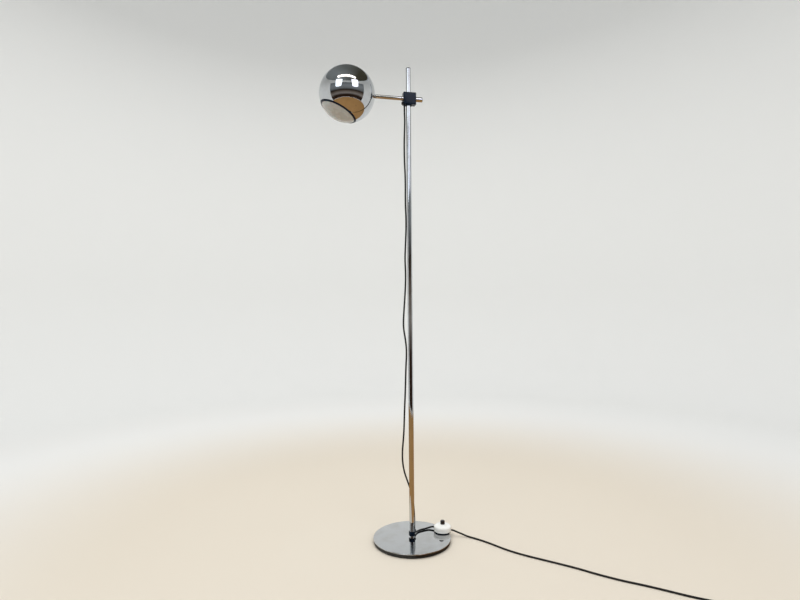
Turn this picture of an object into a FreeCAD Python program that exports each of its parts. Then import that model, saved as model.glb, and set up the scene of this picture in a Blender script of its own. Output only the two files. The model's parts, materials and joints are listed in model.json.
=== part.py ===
import FreeCAD, Part
import math
import os
import re
import Sketcher
from FreeCAD import Placement, Rotation, Vector

# A floor lamp: a chromed ball shade on a short arm, carried by a black clamp block
# that slides and turns on a thin pole, over a round weighted base with a foot switch.
# The origin is the middle of the base's underside, Z is up and the arm points along -X.

doc = FreeCAD.newDocument("floor_lamp")

# driving dimensions, in millimetres and degrees
sizes = {
    # base
    "felt_diameter": 240,
    "felt_thickness": 1.2,
    "weight_diameter": 247,
    "weight_thickness": 10,
    "weight_rounding": 1.5,
    "recess_diameter": 34,
    "recess_depth": 7,
    "cover_diameter": 250,
    "cover_thickness": 2.8,
    "cover_rounding": 1.2,
    # pole and what holds it
    "pole_diameter": 16,
    "pole_wall": 1.5,
    "pole_length": 1512,
    "cap_height": 4,
    "cap_shank_length": 14,
    "foot_plug_length": 28,
    "bolt_diameter": 8,
    "bolt_length": 26,
    "bolt_head_width": 13,
    "bolt_head_height": 5,
    "washer_diameter": 28,
    "washer_thickness": 1.6,
    # clamp block on its sleeve
    "clamp_height": 1428.5,
    "block_width": 42,
    "block_shift": 2.6,
    "block_depth": 23,
    "block_height": 38,
    "block_rounding": 3.2,
    "sleeve_wall": 1.15,
    "sleeve_flange_diameter": 21,
    "sleeve_flange_height": 3.8,
    # arm and its fixings in the block
    "arm_diameter": 12.4,
    "arm_wall": 1,
    "arm_socket_depth": 7.8,
    "ferrule_diameter": 14.2,
    "ferrule_length": 7,
    "ferrule_rounding": 1.2,
    "grub_diameter": 3,
    "grub_length": 6,
    "grip_screw_diameter": 5.8,
    "grip_head_diameter": 10.5,
    "grip_head_length": 4.2,
    "grip_drop": 15,
    # clamping knob
    "knob_diameter": 15.7,
    "knob_length": 23.4,
    "knob_rounding": 3,
    "stud_diameter": 8,
    "stud_grip": 14,
    "insert_diameter": 11,
    "insert_length": 9.4,
    "pad_thickness": 1.9,
    # ball shade
    "ball_reach": 199,
    "ball_radius": 88,
    "ball_wall": 1,
    "mouth_radius": 62,
    "mouth_tilt": 26.8,
    "rim_lip": 4,
    "rim_width": 6,
    "rim_skirt": 10,
    "rim_skirt_wall": 1.3,
    "diffuser_wall": 2,
    "diffuser_recess": 1.4,
    # swivel at the shade
    "pivot_depth": 6.5,
    "arm_gap": 3,
    "joint_ball_radius": 9,
    "stem_diameter": 9.5,
    "stem_bore": 6,
    "stem_spigot_length": 12,
    "stem_nut_radius": 7,
    "stem_nut_thickness": 3,
    "cup_front": 5,
    "cup_back": 4,
    "cup_radius": 12.5,
    "cup_flange_radius": 16,
    "cup_flange_thickness": 2,
    "cup_ring_wall": 1.5,
    "socket_nut_radius": 16,
    "socket_nut_thickness": 3,
    # lampholder and lamp
    "strap_width": 16,
    "strap_thickness": 1.5,
    "nipple_diameter": 10,
    "holder_diameter": 38,
    "holder_length": 48,
    "bulb_radius": 30,
    "bulb_length": 76,
    "bulb_wall": 1,
    "bulb_cap_diameter": 26,
    "bulb_cap_length": 25,
    # foot switch
    "switch_forward": 108,
    "switch_side": 15.3,
    "switch_base_diameter": 54,
    "switch_base_height": 3,
    "switch_diameter": 57,
    "switch_height": 21.5,
    "switch_shoulder": 15,
    "switch_wall": 2,
    "switch_screw_diameter": 3,
    "switch_screw_length": 12,
    "mechanism_length": 20,
    "mechanism_width": 14,
    "mechanism_height": 9,
    "terminal_size": 4,
    "spring_diameter": 10.6,
    "button_diameter": 14.6,
    "button_rise": 11,
    "button_flange": 1.6,
    "button_flange_width": 1.6,
    "button_stem_radius": 4,
    "button_stem_length": 2.2,
    # leads and plug
    "cord_diameter": 5.5,
    "cord_gap": 0.5,
    "clip_diameter": 20.6,
    "clip_height": 13,
    "clip_lift": 4.5,
    "eye_reach": 15.7,
    "eye_angle": 45.5,
    "eye_gap": 0.6,
    "eye_wall": 1.3,
    "eye_height": 7,
    "coil_pitch": 5.95,
    "coil_inner_radius": 19.5,
    "coil_turns": 6.25,
    "coil_lift": 1.15,
    "tie_width": 9,
    "tie_thickness": 0.8,
    "plug_width": 35,
    "plug_thickness": 13.6,
    "plug_length": 34,
    "plug_nose_width": 12,
    "plug_nose_length": 15,
    "plug_rounding": 3,
    "relief_length": 22,
    "relief_wall": 2.2,
    "pin_diameter": 4,
    "pin_length": 19,
    "pin_spacing": 18.6,
    # clearances
    "seat_gap": 0.05,
    "running_gap": 0.05,
    "play": 0.2,
}

sheet = doc.addObject("Spreadsheet::Sheet", "Sizes")
for row, (alias, value) in enumerate(sizes.items(), start=1):
    sheet.set(f"A{row}", alias)
    sheet.set(f"B{row}", str(value))
    sheet.setAlias(f"B{row}", alias)
doc.recompute()

subparts = {}


def cells(text):
    """The same formula, with each size's name read from the sheet."""
    return re.sub(r"[a-z_]+", lambda word: ("Sizes." if word.group() in sizes else "") + word.group(), text)


def bind(feature, formulas):
    for name, text in formulas.items():
        feature.setExpression(name, cells(text))


def put(feature, at=("0", "0", "0"), turn=None):
    """Place a feature at three formulas, turned first if asked."""
    if turn:
        feature.Placement = Placement(Vector(), turn)
    bind(feature, {f"Placement.Base.{name}": text for name, text in zip("xyz", at)})
    return feature


def keep(feature, node):
    """Name a finished piece, which is written under that name."""
    feature.Label = node
    subparts[node] = feature
    return feature


along_x = Rotation(Vector(0, 1, 0), 90)
along_minus_x = Rotation(Vector(0, 1, 0), -90)
along_y = Rotation(Vector(1, 0, 0), -90)
mouth_turn = Rotation(Vector(0, 1, 0), sizes["mouth_tilt"])


def cylinder(radius, height, at=("0", "0", "0"), turn=None):
    feature = doc.addObject("Part::Cylinder", "Cylinder")
    bind(feature, {"Radius": radius, "Height": height})
    return put(feature, at, turn)


def cone(radius, top_radius, height, at=("0", "0", "0"), turn=None):
    feature = doc.addObject("Part::Cone", "Cone")
    bind(feature, {"Radius1": radius, "Radius2": top_radius, "Height": height})
    return put(feature, at, turn)


def sphere(radius, at=("0", "0", "0")):
    feature = doc.addObject("Part::Sphere", "Sphere")
    bind(feature, {"Radius": radius})
    return put(feature, at)


def box(length, width, height, at=("0", "0", "0")):
    """A box whose given point is the middle of its underside."""
    feature = doc.addObject("Part::Box", "Box")
    bind(feature, {"Length": length, "Width": width, "Height": height})
    x, y, z = at
    return put(feature, (f"{x} - ({length}) / 2", f"{y} - ({width}) / 2", z))


def hexagon(across_flats, height, at=("0", "0", "0")):
    feature = doc.addObject("Part::Prism", "Hexagon")
    feature.Polygon = 6
    bind(feature, {"Circumradius": f"({across_flats}) / cos(30)", "Height": height})
    return put(feature, at)


def fuse(*features):
    feature = doc.addObject("Part::MultiFuse", "Fuse")
    feature.Shapes = list(features)
    feature.Refine = True
    return feature


def cut(base, *tools):
    feature = doc.addObject("Part::Cut", "Cut")
    feature.Base = base
    feature.Tool = tools[0] if len(tools) == 1 else fuse(*tools)
    return feature


def common(first, second):
    feature = doc.addObject("Part::Common", "Common")
    feature.Base = first
    feature.Tool = second
    return feature


def plane_of(body, role):
    return next(plane for plane in body.Origin.OriginFeatures if plane.Role == role)


def turned(outline, at=("0", "0", "0"), turn=None, rounds=()):
    """A body turned about its own Z from (radius, height) formulas. rounds holds pairs of
    a radius and the numbers of the outline's points whose edges it rounds."""
    body = doc.addObject("PartDesign::Body", "Turned")
    sketch = body.newObject("Sketcher::SketchObject", "Outline")
    sketch.AttachmentSupport = (plane_of(body, "XZ_Plane"), [""])
    sketch.MapMode = "FlatFace"
    angles = [2 * math.pi * k / len(outline) for k in range(len(outline))]
    rough = [(20 + 10 * math.cos(angle), 10 * math.sin(angle)) for angle in angles]
    for start, end in zip(rough, rough[1:] + rough[:1]):
        sketch.addGeometry(Part.LineSegment(Vector(*start, 0), Vector(*end, 0)))
    for k in range(len(outline)):
        sketch.addConstraint(Sketcher.Constraint("Coincident", k, 2, (k + 1) % len(outline), 1))
    for k, (radius, height) in enumerate(outline):
        for direction, text, axis in (("DistanceX", radius, -2), ("DistanceY", height, -1)):
            if text == "0":
                sketch.addConstraint(Sketcher.Constraint("PointOnObject", k, 1, axis))
                continue
            number = sketch.addConstraint(Sketcher.Constraint(direction, k, 1, 1.0))
            sketch.renameConstraint(number, f"{direction}{k}")
            bind(sketch, {f"Constraints.{direction}{k}": text})
    solid = body.newObject("PartDesign::Revolution", "Turn")
    solid.Profile = sketch
    solid.ReferenceAxis = (sketch, ["V_Axis"])
    solid.Angle = 360
    doc.recompute()
    for radius, points in rounds:
        corners = [sketch.getPoint(k, 1) for k in points]
        rings = [f"Edge{number}" for number, edge in enumerate(solid.Shape.Edges, start=1)
                 if is_ring(edge, corners)]
        fillet = body.newObject("PartDesign::Fillet", "Rounding")
        fillet.Base = (solid, rings)
        bind(fillet, {"Radius": radius})
        solid = fillet
        doc.recompute()
    return put(body, at, turn)


def is_ring(edge, corners):
    if not isinstance(edge.Curve, Part.Circle):
        return False
    return any(abs(edge.Curve.Radius - corner.x) < 1e-4 and abs(edge.Curve.Center.z - corner.y) < 1e-4
               for corner in corners)


# heights and places that several pieces share
weight_bottom = "felt_thickness"
cover_bottom = "felt_thickness + weight_thickness"
disc_top = "felt_thickness + weight_thickness + cover_thickness"
pole_top = f"{disc_top} + pole_length"
pole_bore = "pole_diameter / 2 - pole_wall"
block_bottom = "clamp_height - block_height / 2"
block_top = "clamp_height + block_height / 2"
block_left = "block_shift - block_width / 2"
block_right = "block_shift + block_width / 2"
sleeve_radius = "pole_diameter / 2 + running_gap + sleeve_wall"
block_bore = f"{sleeve_radius} + running_gap"
lead_radius = "cord_diameter / 2"
channel_radius = "(cord_diameter / 2 + cord_gap)"
socket_end = f"{block_left} + arm_socket_depth"
channel_x = f"{socket_end} - {channel_radius} + play"
ball_x = "0 - ball_reach"
pivot_x = "ball_radius - ball_reach - pivot_depth"
arm_end = f"{pivot_x} + pivot_depth + arm_gap"
bolt_hole = "bolt_diameter / 2 + play"

# base

keep(turned([("0", "0"), ("felt_diameter / 2", "0"), ("felt_diameter / 2", "felt_thickness"),
             ("0", "felt_thickness")]), "base_felt")

keep(turned([(bolt_hole, "recess_depth"), ("recess_diameter / 2", "recess_depth"), ("recess_diameter / 2", "0"),
             ("weight_diameter / 2", "0"), ("weight_diameter / 2", "weight_thickness"),
             (bolt_hole, "weight_thickness")],
            at=("0", "0", weight_bottom), rounds=[("weight_rounding", [3])]), "base_weight")

keep(turned([(bolt_hole, "0"), ("cover_diameter / 2", "0"), ("cover_diameter / 2", "cover_thickness"),
             (bolt_hole, "cover_thickness")],
            at=("0", "0", cover_bottom), rounds=[("cover_rounding", [1, 2])]), "base_cover")

# pole

keep(turned([(pole_bore, "0"), ("pole_diameter / 2", "0"), ("pole_diameter / 2", "pole_length"),
             (pole_bore, "pole_length")], at=("0", "0", disc_top)), "pole_tube")

keep(turned([("bolt_diameter / 2 + seat_gap", "0"), (f"{pole_bore} - seat_gap", "0"),
             (f"{pole_bore} - seat_gap", "foot_plug_length"), ("0", "foot_plug_length"),
             ("0", "foot_plug_length - 4"), ("bolt_diameter / 2 + seat_gap", "foot_plug_length - 4")],
            at=("0", "0", disc_top)), "pole_foot_plug")

keep(turned([("0", "0 - cap_shank_length"), (f"{pole_bore} - seat_gap", "0 - cap_shank_length"),
             (f"{pole_bore} - seat_gap", "0"), ("pole_diameter / 2", "0"),
             ("pole_diameter / 2", "cap_height / 3"), ("pole_diameter / 4", "cap_height"), ("0", "cap_height")],
            at=("0", "0", pole_top), rounds=[("cap_height / 2", [4]), ("cap_height / 2", [5])]), "pole_cap")

# a bolt from below clamps the pole's plug down on the cover and the weight
recess_top = "felt_thickness + recess_depth"
keep(turned([(bolt_hole, "0 - washer_thickness"), ("washer_diameter / 2", "0 - washer_thickness"),
             ("washer_diameter / 2", "0"), (bolt_hole, "0")], at=("0", "0", recess_top)), "pole_washer")
head_top = f"{recess_top} - washer_thickness"
keep(fuse(hexagon("bolt_head_width", "bolt_head_height", ("0", "0", f"{head_top} - bolt_head_height")),
          cylinder("bolt_diameter / 2", "bolt_length", ("0", "0", head_top))), "pole_bolt")

# sleeve and clamp block

flange_bottom = f"{block_bottom} - play - sleeve_flange_height"
keep(turned([("pole_diameter / 2 + running_gap", "0"), ("sleeve_flange_diameter / 2", "0"),
             ("sleeve_flange_diameter / 2", "sleeve_flange_height"), (sleeve_radius, "sleeve_flange_height"),
             (sleeve_radius, "sleeve_flange_height + play + block_height"),
             ("pole_diameter / 2 + running_gap", "sleeve_flange_height + play + block_height")],
            at=("0", "0", flange_bottom), rounds=[("0.6", [1])]), "pole_sleeve")


def block_blank():
    """The block's outer form: a padded rectangle with its upright edges well rounded."""
    body = doc.addObject("PartDesign::Body", "Block")
    sketch = body.newObject("Sketcher::SketchObject", "Plan")
    sketch.AttachmentSupport = (plane_of(body, "XY_Plane"), [""])
    sketch.MapMode = "FlatFace"
    corners = [Vector(-9, -9, 0), Vector(9, -9, 0), Vector(9, 9, 0), Vector(-9, 9, 0)]
    for start, end in zip(corners, corners[1:] + corners[:1]):
        sketch.addGeometry(Part.LineSegment(start, end))
    for k in range(4):
        sketch.addConstraint(Sketcher.Constraint("Coincident", k, 2, (k + 1) % 4, 1))
    for k in (0, 2):
        sketch.addConstraint(Sketcher.Constraint("Horizontal", k))
        sketch.addConstraint(Sketcher.Constraint("Vertical", k + 1))
    sketch.addConstraint(Sketcher.Constraint("Symmetric", 0, 1, 2, 1, -1, 1))
    width = sketch.addConstraint(Sketcher.Constraint("DistanceX", 0, 1, 0, 2, 18.0))
    depth = sketch.addConstraint(Sketcher.Constraint("DistanceY", 1, 1, 1, 2, 18.0))
    sketch.renameConstraint(width, "Width")
    sketch.renameConstraint(depth, "Depth")
    bind(sketch, {"Constraints.Width": "block_width", "Constraints.Depth": "block_depth"})
    pad = body.newObject("PartDesign::Pad", "Pad")
    pad.Profile = sketch
    bind(pad, {"Length": "block_height"})
    doc.recompute()
    upright = [f"Edge{number}" for number, edge in enumerate(pad.Shape.Edges, start=1)
               if abs(edge.tangentAt(edge.FirstParameter).z) > 0.99]
    rounding = body.newObject("PartDesign::Fillet", "UprightEdges")
    rounding.Base = (pad, upright)
    bind(rounding, {"Radius": "block_rounding"})
    doc.recompute()
    ends = [f"Edge{number}" for number, edge in enumerate(rounding.Shape.Edges, start=1)
            if abs(edge.CenterOfMass.z) < 1e-6 or abs(edge.CenterOfMass.z - sizes["block_height"]) < 1e-6]
    ease = body.newObject("PartDesign::Fillet", "EndEdges")
    ease.Base = (rounding, ends)
    bind(ease, {"Radius": "block_rounding / 4"})
    doc.recompute()
    return put(body, ("block_shift", "0", block_bottom))


arm_hole = "arm_diameter / 2 + seat_gap"
grub_x = f"{block_left} + arm_socket_depth / 2"
grip_z = "clamp_height - grip_drop"
stud_hole = "stud_diameter / 2 + play / 2"
insert_x = f"{block_right} - insert_length"
keep(cut(block_blank(),
         cylinder(block_bore, "block_height + 2", ("0", "0", f"{block_bottom} - 1")),
         cylinder(arm_hole, "arm_socket_depth + 1", (f"{block_left} - 1", "0", "clamp_height"), along_x),
         cylinder(channel_radius, "block_height / 2 + 1", (channel_x, "0", f"{block_bottom} - 1")),
         cylinder("grip_screw_diameter / 2 + seat_gap", f"{channel_x} - ({block_left}) + 1",
                  (f"{block_left} - 1", "0", grip_z), along_x),
         cylinder("grub_diameter / 2 + seat_gap", "block_height / 2 + 1", (grub_x, "0", "clamp_height")),
         cylinder(stud_hole, f"{block_right} + 1", ("0", "0", "clamp_height"), along_x),
         cylinder("insert_diameter / 2 + seat_gap", "insert_length + 1", (insert_x, "0", "clamp_height"), along_x)),
     "clamp_block")

# the knob's stud runs in a brass insert and presses a pad on the sleeve
pad_x = f"{block_bore} + play / 4"
keep(cylinder("stud_diameter / 2", "pad_thickness", (pad_x, "0", "clamp_height"), along_x), "pressure_pad")
keep(turned([("stud_diameter / 2 + running_gap", "0"), ("insert_diameter / 2", "0"),
             ("insert_diameter / 2", "insert_length"), ("stud_diameter / 2 + running_gap", "insert_length")],
            at=(insert_x, "0", "clamp_height"), turn=along_x), "knob_insert")
stud_x = f"{pad_x} + pad_thickness + play / 2"
knob_x = f"{block_right} + play"
stud_length = f"{knob_x} + stud_grip - ({stud_x})"
keep(cylinder("stud_diameter / 2", stud_length, (stud_x, "0", "clamp_height"), along_x), "lock_stud")
keep(turned([("stud_diameter / 2 + seat_gap", "0"), ("knob_diameter / 2", "0"),
             ("knob_diameter / 2", "knob_length"), ("0", "knob_length"), ("0", "stud_grip + play"),
             ("stud_diameter / 2 + seat_gap", "stud_grip + play")],
            at=(knob_x, "0", "clamp_height"), turn=along_x, rounds=[("knob_rounding", [2]), ("0.5", [1])]),
     "lock_knob")

# arm

arm_bore = "arm_diameter / 2 - arm_wall"
arm_reach = f"{socket_end} - play - ({arm_end})"
arm_blank = turned([(arm_bore, "0"), ("arm_diameter / 2", "0"), ("arm_diameter / 2", arm_reach),
                    (arm_bore, arm_reach)], at=(arm_end, "0", "clamp_height"), turn=along_x)
keep(cut(arm_blank, cylinder(channel_radius, "arm_diameter", (channel_x, "0", "clamp_height - arm_diameter"))),
     "arm_tube")
keep(turned([("arm_diameter / 2 + seat_gap", "0"), ("ferrule_diameter / 2", "0"),
             ("ferrule_diameter / 2", "ferrule_length"), ("arm_diameter / 2 + seat_gap", "ferrule_length")],
            at=(block_left, "0", "clamp_height"), turn=along_minus_x, rounds=[("ferrule_rounding / 2", [2])]),
     "arm_ferrule")
grub_bottom = "clamp_height + arm_diameter / 2 + play / 4"
keep(cut(cylinder("grub_diameter / 2", "grub_length", (grub_x, "0", grub_bottom)),
         hexagon("grub_diameter / 2", "grub_length / 2", (grub_x, "0", f"{grub_bottom} + grub_length / 2 + 0.1"))),
     "arm_grub_screw")

# a slotted screw in the block's side grips the lead in its channel
grip_tip = f"{channel_x} - {lead_radius} - play / 2"
grip_head = turned([("0", "0"), ("grip_head_diameter / 2", "0"), ("grip_head_diameter / 2", "grip_head_length"),
                    ("0", "grip_head_length")],
                   at=(block_left, "0", grip_z), turn=along_minus_x, rounds=[("grip_head_length / 3", [2])])
grip_slot = box("2.4", "1.4", "grip_head_diameter",
                (f"{block_left} - grip_head_length", "0", f"{grip_z} - grip_head_diameter / 2"))
grip_shank = cylinder("grip_screw_diameter / 2", f"{grip_tip} - ({block_left})", (block_left, "0", grip_z), along_x)
keep(cut(fuse(grip_head, grip_shank), grip_slot), "lead_grip_screw")

# swivel between the arm and the shade

stem_back = "0 - joint_ball_radius - play - stem_nut_thickness"
stem_front = "pivot_depth + arm_gap"
keep(turned([("stem_bore / 2", stem_back), ("stem_diameter / 2", stem_back),
             ("stem_diameter / 2", f"{stem_front} - 1.2"), ("arm_diameter / 2 - 0.4", stem_front),
             (f"{arm_bore} - seat_gap", stem_front),
             (f"{arm_bore} - seat_gap", f"{stem_front} + stem_spigot_length"),
             ("stem_bore / 2", f"{stem_front} + stem_spigot_length")],
            at=(pivot_x, "0", "clamp_height"), turn=along_x), "swivel_stem")
keep(turned([("stem_diameter / 2 + seat_gap", "0"), ("stem_nut_radius", "0"),
             ("stem_nut_radius", "stem_nut_thickness"), ("stem_diameter / 2 + seat_gap", "stem_nut_thickness")],
            at=(f"{pivot_x} + ({stem_back})", "0", "clamp_height"), turn=along_x), "swivel_stem_nut")

pivot = (pivot_x, "0", "clamp_height")
keep(cut(sphere("joint_ball_radius", pivot),
         cylinder("stem_diameter / 2 + running_gap", "3 * joint_ball_radius",
                  (f"{pivot_x} - 1.5 * joint_ball_radius", "0", "clamp_height"), along_x)), "swivel_ball")

ball_centre = (ball_x, "0", "clamp_height")
ball_space = "joint_ball_radius + running_gap"
inner_radius = "ball_radius - ball_wall"
cup_thread = "cup_radius - cup_ring_wall"
cup_barrel = cylinder("cup_radius", "cup_back + pivot_depth", (f"{pivot_x} - cup_back", "0", "clamp_height"),
                      along_x)
flange_x = f"{pivot_x} + pivot_depth - ball_wall - cup_flange_thickness"
cup_flange = cylinder("cup_flange_radius", "cup_flange_thickness + ball_wall", (flange_x, "0", "clamp_height"),
                      along_x)
keep(cut(common(fuse(cup_barrel, cup_flange), sphere(f"{inner_radius} - seat_gap", ball_centre)),
         sphere(ball_space, pivot),
         cylinder(cup_thread, "cup_back + 1", (f"{pivot_x} - cup_back - 1", "0", "clamp_height"), along_x),
         cylinder("cup_radius * 0.6", "pivot_depth + 5", (pivot_x, "0", "clamp_height"), along_x)),
     "swivel_cup")
cup_ring = cylinder(f"{cup_thread} - seat_gap", "cup_back - play / 4", (f"{pivot_x} - cup_back", "0", "clamp_height"),
                    along_x)
keep(cut(cup_ring, sphere(ball_space, pivot)), "swivel_ring")

# shade

mouth_drop = "sqrt(ball_radius ^ 2 - mouth_radius ^ 2)"
hole_radius = "cup_radius * 0.64"


def in_shade(height):
    """The place of a piece in the shade whose own zero lies this high over the ball's centre."""
    return (f"0 - ball_reach + ({height}) * sin(mouth_tilt)", "0", f"clamp_height + ({height}) * cos(mouth_tilt)")


mouth_cut = cylinder("ball_radius", "ball_radius", in_shade(f"0 - {mouth_drop} - ball_radius"), mouth_turn)
swivel_hole = cylinder(hole_radius, "4 * pivot_depth", (f"{pivot_x} - pivot_depth", "0", "clamp_height"), along_x)
keep(cut(sphere("ball_radius", ball_centre), sphere(inner_radius, ball_centre), mouth_cut, swivel_hole),
     "shade_shell")

# the black ring clips in the mouth and holds the diffuser on its lip
inner_mouth = f"sqrt(({inner_radius}) ^ 2 - ({mouth_drop}) ^ 2)"
skirt_radius = f"{inner_mouth} - play"
opening_radius = "mouth_radius - rim_width"
ring_blank = turned([(opening_radius, "0 - rim_lip"), ("mouth_radius", "0 - rim_lip"),
                     ("mouth_radius", "0 - seat_gap"),
                     (skirt_radius, "0 - seat_gap"), (skirt_radius, "rim_skirt"),
                     (f"{skirt_radius} - rim_skirt_wall", "rim_skirt"), (f"{skirt_radius} - rim_skirt_wall", "0"),
                     (opening_radius, "0")],
                    at=in_shade(f"0 - {mouth_drop}"), turn=mouth_turn)
keep(common(ring_blank, sphere("ball_radius", ball_centre)), "rim_ring")

diffuser_radius = "ball_radius - diffuser_recess"
seat_radius = f"{skirt_radius} - rim_skirt_wall - seat_gap"
dome_radius = f"({opening_radius} - seat_gap)"
dome_shell = cut(sphere(diffuser_radius, ball_centre), sphere(f"{diffuser_radius} - diffuser_wall", ball_centre))
dome = common(dome_shell, cylinder(dome_radius, "ball_radius", in_shade(f"0 - {mouth_drop} - ball_radius + seat_gap"),
                                   mouth_turn))
dome_edge = f"{mouth_drop} - sqrt(({diffuser_radius}) ^ 2 - {dome_radius} ^ 2) + diffuser_wall / 4"
diffuser_skirt = turned([(f"{dome_radius} - diffuser_wall", dome_edge), (dome_radius, dome_edge),
                         (dome_radius, "seat_gap"), (seat_radius, "seat_gap"), (seat_radius, "rim_skirt * 0.6"),
                         (f"{seat_radius} - diffuser_wall", "rim_skirt * 0.6"),
                         (f"{seat_radius} - diffuser_wall", "diffuser_wall"),
                         (f"{dome_radius} - diffuser_wall", "diffuser_wall")],
                        at=in_shade(f"0 - {mouth_drop}"), turn=mouth_turn)
keep(fuse(dome, diffuser_skirt), "diffuser")

# a strap runs round inside the shell, from an eye round the swivel to the lampholder
strap_outer = f"{inner_radius} - cup_flange_thickness - play"
strap_zone = cut(sphere(strap_outer, ball_centre), sphere(f"{strap_outer} - strap_thickness", ball_centre))
strap_bounds = doc.addObject("Part::Box", "StrapBounds")
bind(strap_bounds, {"Length": "ball_radius + strap_width", "Width": "strap_width", "Height": "ball_radius"})
strap_x, _, strap_z = in_shade("ball_radius * sin(mouth_tilt)")
put(strap_bounds, (f"{strap_x} - strap_width * cos(mouth_tilt)", "0 - strap_width / 2",
                   f"{strap_z} + strap_width * sin(mouth_tilt)"), mouth_turn)
strap_eye = cylinder("cup_radius + strap_width / 3", "4 * pivot_depth",
                     (f"{pivot_x} - 2 * pivot_depth", "0", "clamp_height"), along_x)
nipple_hole = cylinder("nipple_diameter / 2 + seat_gap", "ball_radius", in_shade("0"), mouth_turn)
cup_hole = cylinder("cup_radius + play / 2", "6 * pivot_depth", (f"{pivot_x} - 3 * pivot_depth", "0", "clamp_height"),
                    along_x)
keep(cut(common(strap_zone, fuse(strap_bounds, strap_eye)), nipple_hole, cup_hole), "holder_strap")

nut_seat = f"sqrt(({strap_outer} - strap_thickness) ^ 2 - socket_nut_radius ^ 2)"
nut_x = f"0 - ball_reach + {nut_seat} - play / 4 - socket_nut_thickness"
keep(cut(cylinder("socket_nut_radius", "socket_nut_thickness", (nut_x, "0", "clamp_height"), along_x),
         cylinder("cup_radius + seat_gap", "socket_nut_thickness + 2", (f"{nut_x} - 1", "0", "clamp_height"),
                  along_x)), "swivel_nut")

holder_top = f"sqrt(({strap_outer} - strap_thickness) ^ 2 - (holder_diameter / 4) ^ 2) - play / 4"
nipple_length = f"{inner_radius} - play - ({holder_top} - 8)"
nipple_bore = "nipple_diameter / 2 - 1.2"
keep(turned([(nipple_bore, "0"), ("nipple_diameter / 2", "0"), ("nipple_diameter / 2", nipple_length),
             (nipple_bore, nipple_length)],
            at=in_shade(f"{holder_top} - 8"), turn=mouth_turn, rounds=[("0.4", [2])]), "holder_nipple")
keep(turned([("nipple_diameter / 2 + seat_gap", "0"), ("nipple_diameter / 2 + 3", "0"),
             ("nipple_diameter / 2 + 3", "1.6"), ("nipple_diameter / 2 + seat_gap", "1.6")],
            at=in_shade(f"{strap_outer} + seat_gap"), turn=mouth_turn), "holder_nut")
cap_space = "bulb_cap_diameter / 2 + 2 * play"
keep(turned([(cap_space, "0"), ("holder_diameter / 2", "0"),
             ("holder_diameter / 2", "holder_length * 0.62"), ("holder_diameter / 4", "holder_length"),
             ("nipple_diameter / 2 + seat_gap", "holder_length"),
             ("nipple_diameter / 2 + seat_gap", "holder_length - 9"), ("0", "holder_length - 9"),
             ("0", "bulb_cap_length + 4"), (cap_space, "bulb_cap_length + 4")],
            at=in_shade(f"{holder_top} - holder_length"), turn=mouth_turn, rounds=[("2", [3])]), "lampholder")

# the lamp: a screw cap in the holder and a pear-shaped glass under it
cap_bottom = f"{holder_top} - holder_length + 3.8"
keep(turned([("0", "0"), ("bulb_cap_diameter / 2", "0"), ("bulb_cap_diameter / 2", "bulb_cap_length - 5"),
             ("bulb_cap_diameter / 5", "bulb_cap_length"), ("0", "bulb_cap_length")],
            at=in_shade(cap_bottom), turn=mouth_turn), "bulb_cap")


def glass_form(inset, top):
    """The glass drawn in by a wall, up to the given height over the cap's bottom."""
    neck = f"bulb_cap_diameter / 2 - 0.6 - {inset}"
    return turned([("0", f"{inset} - bulb_length"), (f"bulb_radius - {inset}", f"{inset} - bulb_length"),
                   (f"bulb_radius - {inset}", "bulb_radius * 1.6 - bulb_length"), (neck, "0 - bulb_radius * 0.3"),
                   (neck, top), ("0", top)],
                  at=in_shade(cap_bottom), turn=mouth_turn,
                  rounds=[(f"(bulb_radius - {inset}) * 0.94", [1]), ("bulb_radius * 0.7", [2]),
                          ("bulb_radius * 0.3", [3])])


keep(cut(glass_form("0", "0 - seat_gap"), glass_form("bulb_wall", "bulb_wall")), "bulb_glass")

# foot switch

switch_place = ("switch_forward", "switch_side", disc_top)


def in_switch(forward="0", side="0", height="0"):
    return (f"switch_forward + {forward}", f"switch_side + {side}", f"{disc_top} + {height}")


def lead_direction(degrees):
    """A level direction, such as a lead's out of the switch."""
    return Vector(math.cos(math.radians(degrees)), math.sin(math.radians(degrees)), 0)


lead_in_angle = 128.5
lead_out_angle = -24.5
lead_height = 6.5
screw_angles = (60, 240)


def round_switch(reach, degrees, height):
    """A place in the switch at this reach from its middle."""
    return in_switch(f"({reach}) * cos({degrees})", f"({reach}) * sin({degrees})", height)


screw_reach = "switch_diameter / 3"
screw_radius = "switch_screw_diameter / 2"

base_blank = turned([("0", "0"), ("switch_base_diameter / 2", "0"),
                     ("switch_base_diameter / 2", "switch_base_height"),
                     ("0", "switch_base_height")], at=switch_place, rounds=[("0.5", [1])])
keep(cut(base_blank, *[cylinder(f"{screw_radius} + play / 2", "switch_base_height + 2",
                                round_switch(screw_reach, degrees, "0 - 1")) for degrees in screw_angles],
         *[cylinder(f"{screw_radius} * 2 + play", "switch_base_height * 0.8 + 1",
                    round_switch(screw_reach, degrees, "0 - 1")) for degrees in screw_angles]), "switch_base")

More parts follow.
